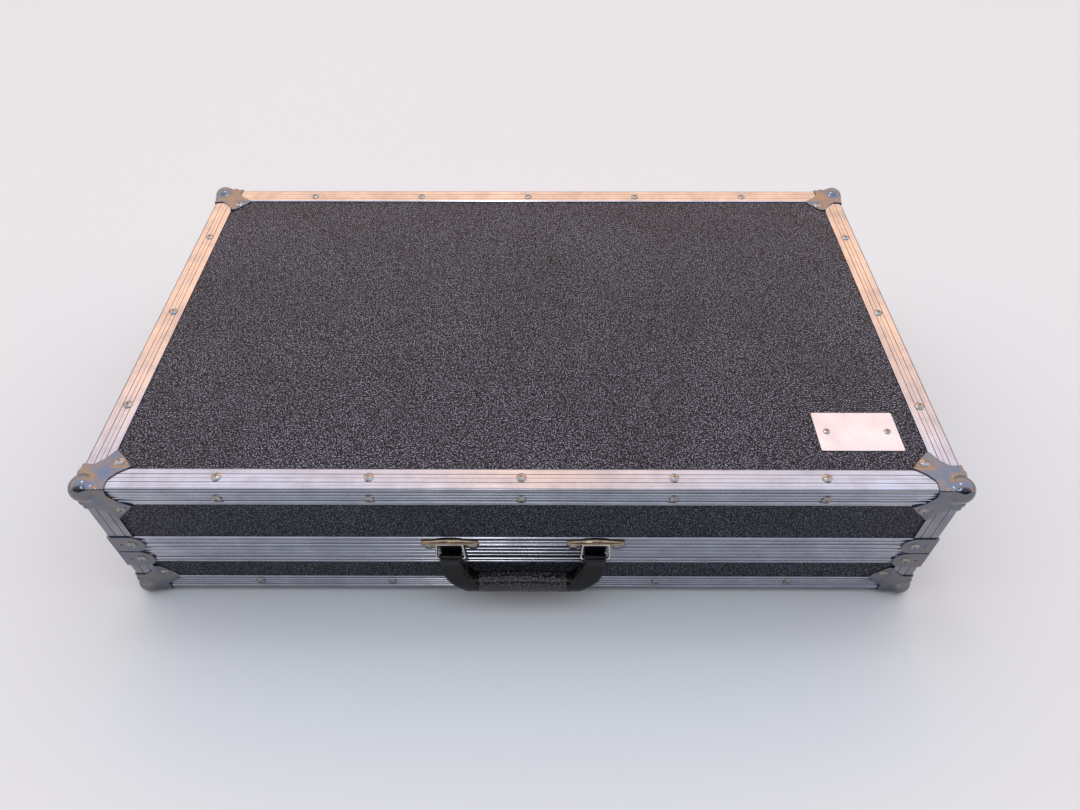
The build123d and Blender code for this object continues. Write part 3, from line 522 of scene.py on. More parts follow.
@dataclass
class Shells:
    """Laminated panels, and the aluminium extrusions that hold them, with rounded beads and flutes."""

    flange: float = 24.0
    wall: float = 1.5
    slot_back: float = 8.5
    inner_face: float = 10.0
    web_half: float = 1.06
    fold_radius: float = 2.2
    fold_points: int = 9
    lid_height: float = 24.5
    base_height: float = 21.0
    lid_gap: float = 0.3
    groove_roof: float = 8.0
    # inset and height of each corner of the base's tongue
    tongue: tuple[tuple[float, float], ...] = ((6.4, 0.0), (6.0, 5.5), (3.6, 5.5), (3.2, 0.0))
    latch_gap: tuple[float, float] = (-89.9, -14.5)
    sides: tuple[str, ...] = ("front", "back", "left", "right")
    # distance from the fold, and depth of the level skin there
    level_skin: tuple[tuple[float, float], ...] = (
        (2.2, 0.0), (4.9, 0.0), (5.0, 0.12), (5.2, 0.0), (8.5, 0.0), (8.6, 1.1), (9.1, 0.0), (13.2, 0.0),
        (13.3, 0.6), (13.6, 0.0), (17.4, 0.0), (17.5, 1.1), (18.0, 0.0), (22.8, 0.0), (24.0, 0.6))
    # distance from the fold of each small step in the upright skin, and the step's depth
    upright_steps: tuple[tuple[float, float], ...] = ((6.0, 0.7), (10.0, 0.6), (14.4, 0.6), (18.6, 0.8))
    # distance from the valance's upper edge of each step, and its depth
    lid_steps: tuple[tuple[float, float], ...] = (
        (0.6, 1.2), (6.4, 0.7), (9.2, 0.35), (12.8, 0.95), (19.2, 0.8))
    base_steps: tuple[tuple[float, float], ...] = ((0.6, 1.2), (6.0, 0.5), (13.6, 0.95), (17.9, 0.6))
    # run of a step's slope for each millimetre of its depth
    step_slope: float = 0.5
    # shortest flat that is kept before the first step
    least_flat: float = 0.01
    # length of the rounded lip, and its depth where it starts and where it ends
    lip: tuple[float, float, float] = (1.2, 0.25, 0.7)
    doubles_mm: float = 0.001
    sharp_angle: float = 0.4

    def stepped_skin(self, steps: tuple[tuple[float, float], ...], start: float, end: float,
                     faces_start: bool = True) -> np.ndarray:
        """Profile of an outer skin that leans in between its steps and comes out over the slope of each.

        Args:
            steps: Distance and depth of each step.
            start: Distance at which the skin starts.
            end: Distance at which it ends, behind a rounded lip.
            faces_start: Whether the slopes look towards the start.

        Returns:
            Rows of distance and depth.
        """
        first_slope = steps[0][0] - self.step_slope * steps[0][1]
        rows = [(start, 0.0)] if start < first_slope - self.least_flat else []
        for place, depth in steps:
            run = self.step_slope * depth
            if faces_start:
                rows.extend(((place - run, depth), (place, 0.0)))
            else:
                rows.extend(((place, 0.0), (place + run, depth)))
        length, start_depth, end_depth = self.lip
        return np.array([*rows, (end - length, start_depth), (end, end_depth)])

    def edge_outline(self, shell: str) -> np.ndarray:
        """Outline of the double angle: two fluted faces about a round fold, a web, and the inner angle.

        The small steps of the upright face look up on both shells, so on the base they look away from the
        fold.

        Args:
            shell: Shell that the extrusion belongs to, "lid" or "base".

        Returns:
            Rows of inset and distance from the level face.
        """
        level = np.array(self.level_skin)
        upright = self.stepped_skin(self.upright_steps, self.fold_radius, self.flange, shell == "lid")
        turn = np.linspace(np.pi / 2, 0, self.fold_points)[1:-1]
        fold = self.fold_radius * (1 - np.stack((np.cos(turn[::-1]), np.sin(turn[::-1])), -1))
        end, back, inner, web = self.flange, self.slot_back, self.inner_face, self.web_half
        inside = np.array([(self.wall, end), (self.wall, self.wall + web), (back, back + web), (back, end),
                           (inner, end), (inner, inner), (end, inner), (end, back), (back + web, back),
                           (self.wall + web, self.wall), (end, self.wall)])
        return np.concatenate((level[::-1], fold, upright[:, ::-1], inside))

    def valance_outline(self, shell: str) -> np.ndarray:
        """Outline of a valance across the bar, with its height over the split line as the second value.

        Args:
            shell: Shell that the valance belongs to, "lid" or "base".

        Returns:
            Rows of inset and height.
        """
        back, inner, wall = self.slot_back, self.inner_face, self.wall
        if shell == "lid":
            top, roof, gap = self.lid_height, self.groove_roof, self.lid_gap
            face = self.stepped_skin(self.lid_steps, 0.0, top - gap)
            inside = [(wall, gap), (wall, roof), (back, roof), (back, gap), (inner, gap),
                      (inner, top), (back, top), (back, roof + wall), (wall, roof + wall), (wall, top)]
        else:
            top, low = 0.0, -self.base_height
            face = self.stepped_skin(self.base_steps, 0.0, self.base_height)
            inside = [(wall, low), (wall, -wall), (back, -wall), (back, low), (inner, low), (inner, 0.0),
                      *self.tongue]
        return np.concatenate((np.stack((face[:, 1], top - face[:, 0]), -1), np.array(inside)))

    def bar(self, name: str, outline: np.ndarray, side: str, cuts: tuple[tuple, ...], shell: str, node: str,
            finish: bpy.types.Material) -> None:
        """Draw an outline along one side of the case, with mitred or square ends.

        Args:
            name: Name of the piece.
            outline: Rows of inset and height in the part's frame.
            side: Side of the case.
            cuts: Low and high end of each length, where None is a mitre.
            shell: Body that it rides on.
            node: CAD node that it stands for.
            finish: Its finish.
        """
        inset, height = outline[:, 0], outline[:, 1]
        count = len(inset)
        middle = (CASE_FRONT + CASE_BACK) / 2
        crosswise = side in ("front", "back")
        half = CASE_HALF_WIDTH if crosswise else (CASE_BACK - CASE_FRONT) / 2
        outward = 1 if side in ("back", "right") else -1
        points, faces = [], []
        for low, high in cuts:
            first = len(points) * count
            for cut, sign in ((low, -1), (high, 1)):
                along = sign * (half - inset) if cut is None else np.full(count, cut - middle)
                if crosswise:
                    across = (CASE_BACK if outward > 0 else CASE_FRONT) - outward * inset
                    points.append(np.stack((along, across, height), -1))
                else:
                    across = outward * (CASE_HALF_WIDTH - inset)
                    points.append(np.stack((across, middle + along, height), -1))
            faces.extend((grid_faces(2, count, False, True) + first).tolist())
            faces.append(list(range(first, first + count)))
            faces.append(list(range(first + 2 * count - 1, first + count - 1, -1)))
        piece = make_piece(name, np.concatenate(points), faces, finish, shell, "aluminium_extrusion", [node])
        merge_close(piece, self.doubles_mm)
        piece.data.set_sharp_from_angle(angle=self.sharp_angle)

    def build(self) -> None:
        """Dress the panels and posts, and draw each extrusion along its side."""
        panels = [f"{shell}_{side}_panel" for shell in ("base", "lid") for side in self.sides]
        dress([*panels, "base_bottom_panel", "lid_top_panel"], PebbleLaminate().material())
        for run, ends in ((Run.ALONG_X, self.sides[:2]), (Run.ALONG_Y, self.sides[2:])):
            finish = DrawnAluminium(run).material()
            for shell, level, up in (("base", CASE_BOTTOM, 1), ("lid", CASE_TOP, -1)):
                for side in ends:
                    edge = self.edge_outline(shell) * (1, up) + (0, level)
                    self.bar(f"{shell}_double_angle_{side}", edge, side, ((None, None),), shell,
                             f"{shell}_edge_{side}", finish)
                    valance = self.valance_outline(shell) + (0, SPLIT)
                    cuts = ((None, None),)
                    if run is Run.ALONG_Y:
                        cuts = ((None, self.latch_gap[0]), (self.latch_gap[1], None))
                    self.bar(f"{shell}_hybrid_{side}", valance, side, cuts, shell,
                             f"{shell}_valance_{side}", finish)
        # the corner posts get a darker copy of the same aluminium: painted shade on their upright faces
        shaded_posts = DrawnAluminium(Run.UPRIGHT, bright="#94959e", dull="#777880")
        dress(["base_corner_posts", "lid_corner_posts"], shaded_posts.material())
        dress(["name_plate"], SATIN_PLATE.material())


@dataclass
class BallCorners:
    """Pressed steel ball corners: three plates that blend into a dome, with a raised pip over each fold."""

    sheet: float = 1.2
    ball_radius: float = 12.5
    ball_inset: float = 6.0
    blend: float = 3.4
    fold_radius: float = 1.8
    fold_span: tuple[float, float] = (3.0, 7.0)
    panel_drop: float = 1.5
    drop_span: tuple[float, float] = (24.0, 30.0)
    pip_place: float = 19.5
    pip_radius: float = 2.8
    pip_height: float = 1.0
    pip_core: float = -3.0
    outline: tuple[tuple[float, float], ...] = (
        (-28.5, 1.2), (-28.5, 0.0), (-27.5, -10.0), (-34.0, -18.0), (-45.4, -25.5),
        (-25.5, -45.4), (-18.0, -34.0), (-10.0, -27.5), (0.0, -28.5), (1.2, -28.5))
    outline_cut: tuple[float, ...] = (0.0, 0.5, 2.5, 2.5, 3.0, 3.0, 2.5, 2.5, 0.5, 0.0)
    around: int = 58
    outward: int = 34

    def plate(self) -> np.ndarray:
        """Work out one plate of a corner whose case fills the space below zero on all three axes.

        Points lie on rays from the fold corner to the plate's outline. Past the flange the plate dips to the
        panel. Near a fold, points move onto an arc. Then each point is pushed away from the ball's centre to
        the smooth maximum of its own distance and the ball's radius, so the dome and the plate blend. Last,
        a pip is raised over each fold.

        Returns:
            Points by ray and by place on it, in millimetres, with the plate's normal as the third axis.
        """
        rim = rounded_outline(np.array(self.outline), np.array(self.outline_cut), self.around, False)
        corner = np.array((self.sheet, self.sheet))
        place = np.linspace(0, 1, self.outward)[None, :, None]
        flat = corner + place * (rim[:, None, :] - corner)
        inside = np.minimum(-flat[..., 0], -flat[..., 1])
        height = self.sheet - self.panel_drop * smooth_step(inside, *self.drop_span)
        points = np.concatenate((flat, height[..., None]), -1)
        away = np.max(corner - flat, axis=-1)
        radius = self.fold_radius * smooth_step(away, *self.fold_span)
        for axis in (0, 1):
            depth = self.sheet - flat[..., axis]
            near = (depth < radius) & (radius > 0)
            angle = np.pi / 4 * (1 + depth / np.where(near, radius, 1))
            centre = self.sheet - radius
            points[..., axis] = np.where(near, centre + radius * np.cos(angle), points[..., axis])
            points[..., 2] = np.where(near, centre + radius * np.sin(angle), points[..., 2])
        from_ball = points + self.ball_inset
        distance = np.linalg.norm(from_ball, axis=-1, keepdims=True)
        close = np.maximum(self.blend - np.abs(distance - self.ball_radius), 0) / self.blend
        pushed = np.maximum(distance, self.ball_radius) + close**2 * self.blend / 4
        points = from_ball * pushed / distance - self.ball_inset
        fold, core = self.sheet - self.fold_radius * (1 - np.sqrt(0.5)), self.pip_core
        for top, root in (((-self.pip_place, fold, fold), (-self.pip_place, core, core)),
                          ((fold, -self.pip_place, fold), (core, -self.pip_place, core))):
            reach = np.linalg.norm(points - np.array(top), axis=-1, keepdims=True) / self.pip_radius
            lift = points - np.array(root)
            lift = lift / np.linalg.norm(lift, axis=-1, keepdims=True)
            points = points + lift * self.pip_height * np.exp(-reach**4)
        return points

    def build(self) -> None:
        """Put three plates on each of the eight corners, mirrored into place, and give the sheet its wall."""
        plate = self.plate()
        plates = [plate, np.roll(plate, 1, axis=-1), np.roll(plate, 2, axis=-1)]
        steel = ZINC.material()
        for shell, level, up in (("lid", CASE_TOP, 1), ("base", CASE_BOTTOM, -1)):
            points, faces = [], []
            for x in (-1, 1):
                for y in (-1, 1):
                    place = np.array((x * CASE_HALF_WIDTH, CASE_BACK if y > 0 else CASE_FRONT, level))
                    for form in plates:
                        turned = form * np.array((x, y, up)) + place
                        turned[..., 2] = np.maximum(turned[..., 2], 0)
                        quads = grid_faces(self.around, self.outward, False, False, x * y * up < 0)
                        faces.append(quads + len(points) * form[..., 0].size)
                        points.append(turned.reshape(-1, 3))
            piece = make_piece(f"{shell}_pressed_corners", np.concatenate(points), np.concatenate(faces),
                               steel, shell, "zinc_steel", [f"{shell}_ball_corners"])
            merge_close(piece)
            give_wall(piece, "sheet", self.sheet, -1)


@dataclass
class Fittings:
    """Braces, rivets, hinges and latches, which keep their solids and get their finishes."""

    shells: tuple[str, ...] = ("base", "lid")

    def build(self) -> None:
        """Dress the steel fittings by how each was plated."""
        zinc = ZINC.material()
        dress([f"{shell}_corner_braces" for shell in self.shells], zinc)
        dress(["hinge_base_leaves", "hinge_lid_leaves", "hinge_pins"], zinc)
        latches = [f"{name}_{side}" for side in ("left", "right")
                   for name in ("latch_dish", "keeper_dish", "latch_rotor", "latch_wing", "latch_hook")]
        dress(latches, zinc)
        rivets = [f"{shell}_{kind}_rivets" for shell in self.shells for kind in ("edge", "corner", "fitting")]
        dress(rivets, RIVET_STEEL.material())


@dataclass
class CarryingHandle:
    """Moulded grip that hangs by wire rings in two folded brackets."""

    eye: tuple[float, float, float] = (71.0, -236.7, 76.7)
    eye_radius: float = 4.7
    eye_points: int = 9
    least_half: float = 0.02
    bar_y: float = -243.2
    bar_z: float = 42.2
    bar_radius: float = 9.6
    bar_crown: float = 1.8
    bar_reach: float = 46.6
    bar_squareness: float = 2.3
    # first and last x of the sections over the collar and over the pebbles, and their number
    bar_sections: tuple[tuple[float, float, int], ...] = ((46.4, 44.2, 16), (43.6, 0.3, 78))
    bar_margin: float = 0.3
    collar_rise: float = 0.5
    collar_slope: float = 0.25
    collars: tuple[tuple[float, float], ...] = ((44.8, 46.0),)
    pebble_reach: float = 44.0
    pebble_fade: float = 1.2
    pebble_mm: float = 2.3
    pebble_height: float = 0.5
    # radius of a pebble, and how far its middle is moved, as shares of the grid
    pebble_radius: float = 0.62
    pebble_shake: float = 0.3
    pattern_cells: int = 64
    pattern_start: float = 100.0
    groove_place: float = 0.84
    groove_depth: float = 0.09
    groove_width: float = 0.035
    groove_span: tuple[float, float] = (2.0, 4.0)
    ring_top: tuple[float, float] = (-234.4, 97.7)
    ring_widths: tuple[float, float] = (25.2, 28.0)
    ring_cut: float = 2.4
    # points along the wire and round it
    ring_points: tuple[int, int] = (120, 16)
    wire_radius: float = 1.3
    knob_rise: float = 0.6
    knob_length: float = 1.7
    knob_shift: float = 0.04
    around: int = 96
    leg_sections: int = 46
    # inside x, inside height over the bar, outside x, outside height, y, half thickness, squareness, and how
    # much of a strap it is
    leg_keys: tuple[tuple[float, ...], ...] = (
        (60.25, 34.5, 81.75, 34.5, -236.7, 4.7, 7.0, 1.0),
        (60.25, 28.5, 81.75, 27.0, -236.9, 4.4, 7.0, 1.0),
        (58.6, 24.0, 81.0, 17.5, -238.6, 5.4, 6.0, 1.0),
        (54.6, 18.6, 76.4, 7.4, -240.9, 7.0, 5.0, 0.9),
        (50.4, 13.4, 66.5, -3.0, -242.6, 8.9, 3.6, 0.3),
        (47.4, 10.2, 56.0, -9.2, -243.2, 9.6, 2.6, 0.0),
        (46.6, 9.7, 48.4, -9.6, -243.2, 9.6, 2.3, 0.0))
    bracket_half: float = 27.5
    bracket_low: float = 86.2
    bracket_top: float = 103.7
    bracket_arch: float = 6.0
    bracket_lift: float = 0.2
    bracket_corner: float = 2.5
    # points along a bracket, up its plate and over its roof
    bracket_points: tuple[int, int, int] = (41, 8, 12)
    plate_gap: float = 0.1
    roof_reach: tuple[float, float] = (1.5, 4.6)
    roof_drop: float = 2.2
    bracket_sheet: float = 0.9
    pad_middle: float = 87.5
    pad_half: tuple[float, float] = (10.8, 12.0)
    pad_depths: tuple[float, float] = (0.4, 1.45)
    pad_step: tuple[float, float] = (83.0, 86.0)
    pad_points: int = 64
    # power of the cosine and the sine: the smaller, the squarer the pad
    pad_power: float = 0.35
    # share of the pad's size and of its depth, from the middle of its back to the middle of its front
    pad_profile: tuple[tuple[float, float], ...] = (
        (0.0, 0.0), (0.96, 0.0), (1.0, 0.1), (1.0, 0.6), (0.97, 0.88), (0.9, 1.0), (0.0, 1.0))

    def pebbles(self, x: np.ndarray, arc: np.ndarray) -> np.ndarray:
        """Height of the bar's pebble grain: one round bump about each point of a shaken grid.

        Args:
            x: Place along the bar, in millimetres.
            arc: Place round it, in millimetres.

        Returns:
            Height in millimetres.
        """
        cells = self.pattern_cells
        shake = np.random.default_rng(7).uniform(-self.pebble_shake, self.pebble_shake, (cells, cells, 2))
        place, turn = x / self.pebble_mm, arc / self.pebble_mm
        column, row = np.floor(place), np.floor(turn)
        nearest = np.full(x.shape, np.inf)
        for step_x in (-1, 0, 1):
            for step_y in (-1, 0, 1):
                i, j = column + step_x, row + step_y
                move = shake[(i % cells).astype(int), (j % cells).astype(int)]
                gap = np.hypot(place - i - 0.5 - move[..., 0], turn - j - 0.5 - move[..., 1])
                nearest = np.minimum(nearest, gap)
        return self.pebble_height * np.clip(1 - (nearest / self.pebble_radius) ** 2, 0, 1)

    def sections(self) -> np.ndarray:
        """Work out the grip's sections from the right eye to the middle of the bar.

        Each row holds the inner point and the outer point of a section seen from the front, its y, its half
        thickness, how square it is, and how much of a strap it is. The eye is half a circle about the ring,
        the leg passes smoothly through its keys, and the bar bulges upwards by a parabola.

        Returns:
            One row for each section.
        """
        keys = np.array(self.leg_keys)
        turn = np.linspace(np.pi / 2, 0, self.eye_points)[:-1]
        cap = np.repeat(keys[:1], len(turn), 0)
        cap[:, (1, 3)] += (self.eye_radius * np.sin(turn))[:, None]
        cap[:, 5] = np.maximum(self.eye_radius * np.cos(turn), self.least_half)
        middle = (keys[:, :2] + keys[:, 2:4]) / 2
        along = np.concatenate(([0], np.cumsum(np.linalg.norm(np.diff(middle, axis=0), axis=1))))
        leg = through_keys(along, keys, np.linspace(0, along[-1], self.leg_sections))
        x = np.concatenate([np.linspace(*span) for span in self.bar_sections])
        slope = self.collar_slope
        ring = sum(smooth_step(x, low - slope, low) - smooth_step(x, high, high + slope)
                   for low, high in self.collars)
        rise = self.collar_rise * ring
        bar = np.zeros((len(x), keys.shape[1]))
        bar[:, 0], bar[:, 2] = x, x
        bar[:, 1] = self.bar_radius + self.bar_crown * (1 - (x / self.bar_reach) ** 2) + rise
        bar[:, 3] = -self.bar_radius - rise
        bar[:, 4], bar[:, 5], bar[:, 6] = self.bar_y, self.bar_radius + rise, self.bar_squareness
        rows = np.concatenate((cap, leg, bar))
        rows[:, (1, 3)] += self.bar_z
        return rows

    def grip(self) -> np.ndarray:
        """Carry a superellipse through the sections, with a line near each strap's edges and a pebbled bar.

        Returns:
            Points by section and by place round it, in millimetres.
        """
        rows = self.sections()
        rows = np.concatenate((rows, rows[::-1] * np.array((-1, 1, -1, 1, 1, 1, 1, 1))))
        inside_x, inside_z, outside_x, outside_z, y, half, square, strap = rows.T[..., None]
        turn = np.linspace(0, 2 * np.pi, self.around, endpoint=False)[None, :]
        cosine, sine = np.cos(turn), np.sin(turn)
        across = np.sign(cosine) * np.abs(cosine) ** (2 / square)
        through = np.sign(sine) * np.abs(sine) ** (2 / square)
        groove = np.exp(-((np.abs(across) - self.groove_place) / self.groove_width) ** 2)
        groove = self.groove_depth * strap * groove
        through = through * (1 - groove * smooth_step(half, *self.groove_span))
        x = (inside_x + outside_x) / 2 - across * (inside_x - outside_x) / 2
        z = (inside_z + outside_z) / 2 - across * (inside_z - outside_z) / 2
        points = np.stack((x, y + through * half, z), -1)
        is_bar = np.abs(inside_x - outside_x) < 0.01
        on_bar = smooth_step(self.pebble_reach - np.abs(x), 0.0, self.pebble_fade) * is_bar
        axis = np.stack((x, np.full(x.shape, self.bar_y), np.full(x.shape, self.bar_z)), -1)
        normal = points - axis
        normal /= np.maximum(np.linalg.norm(normal, axis=-1, keepdims=True), 1e-6)
        bumps = self.pebbles(x + self.pattern_start, turn * self.bar_radius + 0 * x) * on_bar
        return points + normal * bumps[..., None]

    def at_both_eyes(self, form: np.ndarray, faces: np.ndarray) -> tuple[np.ndarray, np.ndarray]:
        """Put a form at the left eye and at the right eye.

        Args:
            form: Points in millimetres about the plane x = 0.
            faces: Its faces.

        Returns:
            Points in millimetres, and the faces.
        """
        pair = [(form + np.array((middle, 0, 0))).reshape(-1, 3) for middle in (-self.eye[0], self.eye[0])]
        return np.concatenate(pair), np.concatenate((faces, faces + len(pair[0])))

    def rings(self) -> tuple[np.ndarray, np.ndarray]:
        """Sweep a wire round two leaning loops, thicker at their lower corners.

        Returns:
            Points in millimetres, and the faces.
        """
        top, low = np.array((0, *self.ring_top)), np.array((0, self.eye[1], self.eye[2]))
        side = np.array((1.0, 0, 0))
        half_top, half_low = (width / 2 for width in self.ring_widths)
        corners = np.array([top - side * half_top, top + side * half_top,
                            low + side * half_low, low - side * half_low])
        length, round_wire = self.ring_points
        line = rounded_outline(corners, np.full(4, self.ring_cut), length, True)
        tangent = np.roll(line, -1, 0) - np.roll(line, 1, 0)
        tangent /= np.linalg.norm(tangent, axis=1, keepdims=True)
        normal = np.cross(side, top - low)
        normal /= np.linalg.norm(normal)
        outward = np.cross(tangent, normal)
        knobs = corners[2:] * (1 - self.knob_shift) + low * self.knob_shift
        gap = np.min(np.linalg.norm(line[:, None] - knobs[None], axis=-1), axis=1)
        radius = self.wire_radius + self.knob_rise * np.exp(-(gap / self.knob_length) ** 2)
        turn = np.linspace(0, 2 * np.pi, round_wire, endpoint=False)
        spokes = np.cos(turn)[None, :, None] * outward[:, None] + np.sin(turn)[None, :, None] * normal
        ring = line[:, None] + radius[:, None, None] * spokes
        return self.at_both_eyes(ring, grid_faces(length, round_wire, True, True))

    def brackets(self) -> tuple[np.ndarray, np.ndarray]:
        """Form two brackets: an arched plate on the wall, and a roof that rolls out over the ring's wire.

        The roof is a quarter of an ellipse across, and reaches furthest out in the middle.

        Returns:
            Points in millimetres, and the faces.
        """
        length, plate_rows, roof_rows = self.bracket_points
        place = np.linspace(-1, 1, length)[:, None]
        top = self.bracket_top - self.bracket_arch * place**2
        turn = np.linspace(0, np.pi / 2, roof_rows)[None, :]
        end_reach, middle_reach = self.roof_reach
        reach = end_reach + (middle_reach - end_reach) * (1 - np.abs(place) ** 3)
        roof = (self.bracket_lift + reach * np.sin(turn), top - self.roof_drop * (1 - np.cos(turn)))
        level = np.linspace(0, 1, plate_rows)[None, :]
        low = self.bracket_low + self.bracket_corner * np.abs(place) ** 8
        plate = (self.bracket_lift + 0 * place * level, low + (top - self.plate_gap - low) * level)
        across = np.concatenate((plate[0], roof[0]), 1)
        height = np.concatenate((plate[1], roof[1]), 1)
        sheet = np.stack((self.bracket_half * place + 0 * across, CASE_FRONT - across, height), -1)
        return self.at_both_eyes(sheet, grid_faces(*sheet.shape[:2], False, False))

    def black_pads(self) -> tuple[np.ndarray, np.ndarray]:
        """Form the black pad behind each ring: a squared superellipse with a rounded rim, closed at its back.

        It is thin behind the strap's eye, and steps out smoothly over the bracket's plate.

        Returns:
            Points in millimetres, and the faces.
        """
        size, lift = (np.array(column)[:, None] for column in zip(*self.pad_profile))
        turn = np.linspace(0, 2 * np.pi, self.pad_points, endpoint=False)[None, :]
        across = self.pad_half[0] * np.sign(np.cos(turn)) * np.abs(np.cos(turn)) ** self.pad_power
        height = self.pad_half[1] * np.sign(np.sin(turn)) * np.abs(np.sin(turn)) ** self.pad_power
        level = self.pad_middle + size * height
        thin, thick = self.pad_depths
        depth = lift * (thin + (thick - thin) * smooth_step(level, *self.pad_step))
        pad = np.stack((size * across, CASE_FRONT - depth, level), -1)
        return self.at_both_eyes(pad, grid_faces(*pad.shape[:2], False, True))

    def build(self) -> None:
        """Make the grip, the rings, their brackets and the pads behind them."""
        points = self.grip()
        strap = STRAP_VINYL.material()
        grip = make_piece("moulded_grip", points, grid_faces(*points.shape[:2], False, True),
                          strap, "handle_grip", "black_plastic", ["handle_grip"])
        grip.data.materials.append(BAR_VINYL.material())
        low_end = points[:-1, :, 2].min(axis=1) < self.bar_z - self.bar_radius + self.bar_margin
        on_bar = low_end & (np.abs(points[:-1, 0, 0]) < self.pebble_reach)
        grip.data.polygons.foreach_set("material_index", np.repeat(on_bar, self.around).astype(np.int32))
        merge_close(grip, distance_mm=0.05)
        rings = make_piece("wire_rings", *self.rings(), NICKEL.material(), "handle_rings", "nickel_steel",
                           ["handle_rings"])
        merge_close(rings, distance_mm=0.005)
        # the brackets' darker golden brown tone is a painted reflection
        brackets = make_piece("rolled_brackets", *self.brackets(), REFLECTION_TINTED_NICKEL.material(), "lid",
                              "nickel_steel", ["handle_brackets"])
        give_wall(brackets, "sheet", self.bracket_sheet, 1)
        # a black pad with no CAD solid fills the space between each ring's wires
        merge_close(make_piece("handle_black_pads", *self.black_pads(), strap, "lid", "black_plastic", []))


@dataclass
class FoamLining:
    """Foam slabs and wall strips, with eased edges, and egg-crate waves under the lid."""

    ease_mm: float = 1.6
    ease_segments: int = 3
    flat_angle: float = 0.03
    wave_mm: float = 32.0
    wave_height: float = 9.0
    wave_fade: float = 8.0
    wave_points: tuple[int, int] = (186, 104)
    pad_margin: float = 0.4
    strip_width: float = 25.3
    slab: float = 7.0

    def eased_copy(self, name: str, node: str, body: str, foam: bpy.types.Material) -> None:
        """Copy a foam solid, ease its cut edges and let it stand for the solid.

        Args:
            name: Name of the new piece.
            node: CAD node to copy.
            body: Body that it rides on.
            foam: The finish.
        """
        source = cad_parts[node].data
        points = np.zeros(len(source.vertices) * 3, np.float32)
        source.vertices.foreach_get("co", points)
        corners = np.zeros(len(source.loops), np.int32)
        source.loops.foreach_get("vertex_index", corners)
        piece = make_piece(name, points.reshape(-1, 3) / MM, corners.reshape(-1, 3), foam, body, "foam",
                           [node])
        merge_close(piece)
        shape = bmesh.new()
        shape.from_mesh(piece.data)
        bmesh.ops.dissolve_limit(shape, angle_limit=self.flat_angle, verts=shape.verts, edges=shape.edges)
        shape.to_mesh(piece.data)
        shape.free()
        edge = piece.modifiers.new("eased_edges", "BEVEL")
        edge.width = self.ease_mm * MM
        edge.segments = self.ease_segments
        edge.limit_method = "ANGLE"

    def egg_crate(self, foam: bpy.types.Material) -> None:
        """Make the lid's pad: a slab whose lower face is a product of two sine waves.

        Args:
            foam: The finish.
        """
        low, high = (np.array(corner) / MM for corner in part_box("lid_foam_pad"))
        inner_low, inner_high = low + self.strip_width, high - self.strip_width
        rows, columns = self.wave_points
        x = np.linspace(inner_low[0], inner_high[0], rows)
        y = np.linspace(inner_low[1], inner_high[1], columns)
        grid_x, grid_y = np.meshgrid(x, y, indexing="ij")
        wave = np.sin(2 * np.pi * grid_x / self.wave_mm) * np.sin(2 * np.pi * grid_y / self.wave_mm)
        edge = np.minimum(np.minimum(grid_x - x[0], x[-1] - grid_x),
                          np.minimum(grid_y - y[0], y[-1] - grid_y))
        depth = (1 - wave) / 2 * self.wave_height * smooth_step(edge, 0.0, self.wave_fade)
        face = np.stack((grid_x, grid_y, low[2] + self.pad_margin + depth), -1)
        piece = make_piece("lid_egg_crate_pad", face, grid_faces(rows, columns, False, False, True), foam,
                           "lid", "foam", ["lid_foam_pad"])
        give_wall(piece, "slab", self.slab, -1)

    def build(self) -> None:
        """Make all four pieces of the lining."""
        foam = OpenCellFoam().material()
        self.eased_copy("base_foam_slab", "base_foam_floor", "base", foam)
        self.eased_copy("base_foam_strips", "base_foam_walls", "base", foam)
        self.eased_copy("lid_foam_strips", "lid_foam_walls", "lid", foam)
        self.egg_crate(foam)


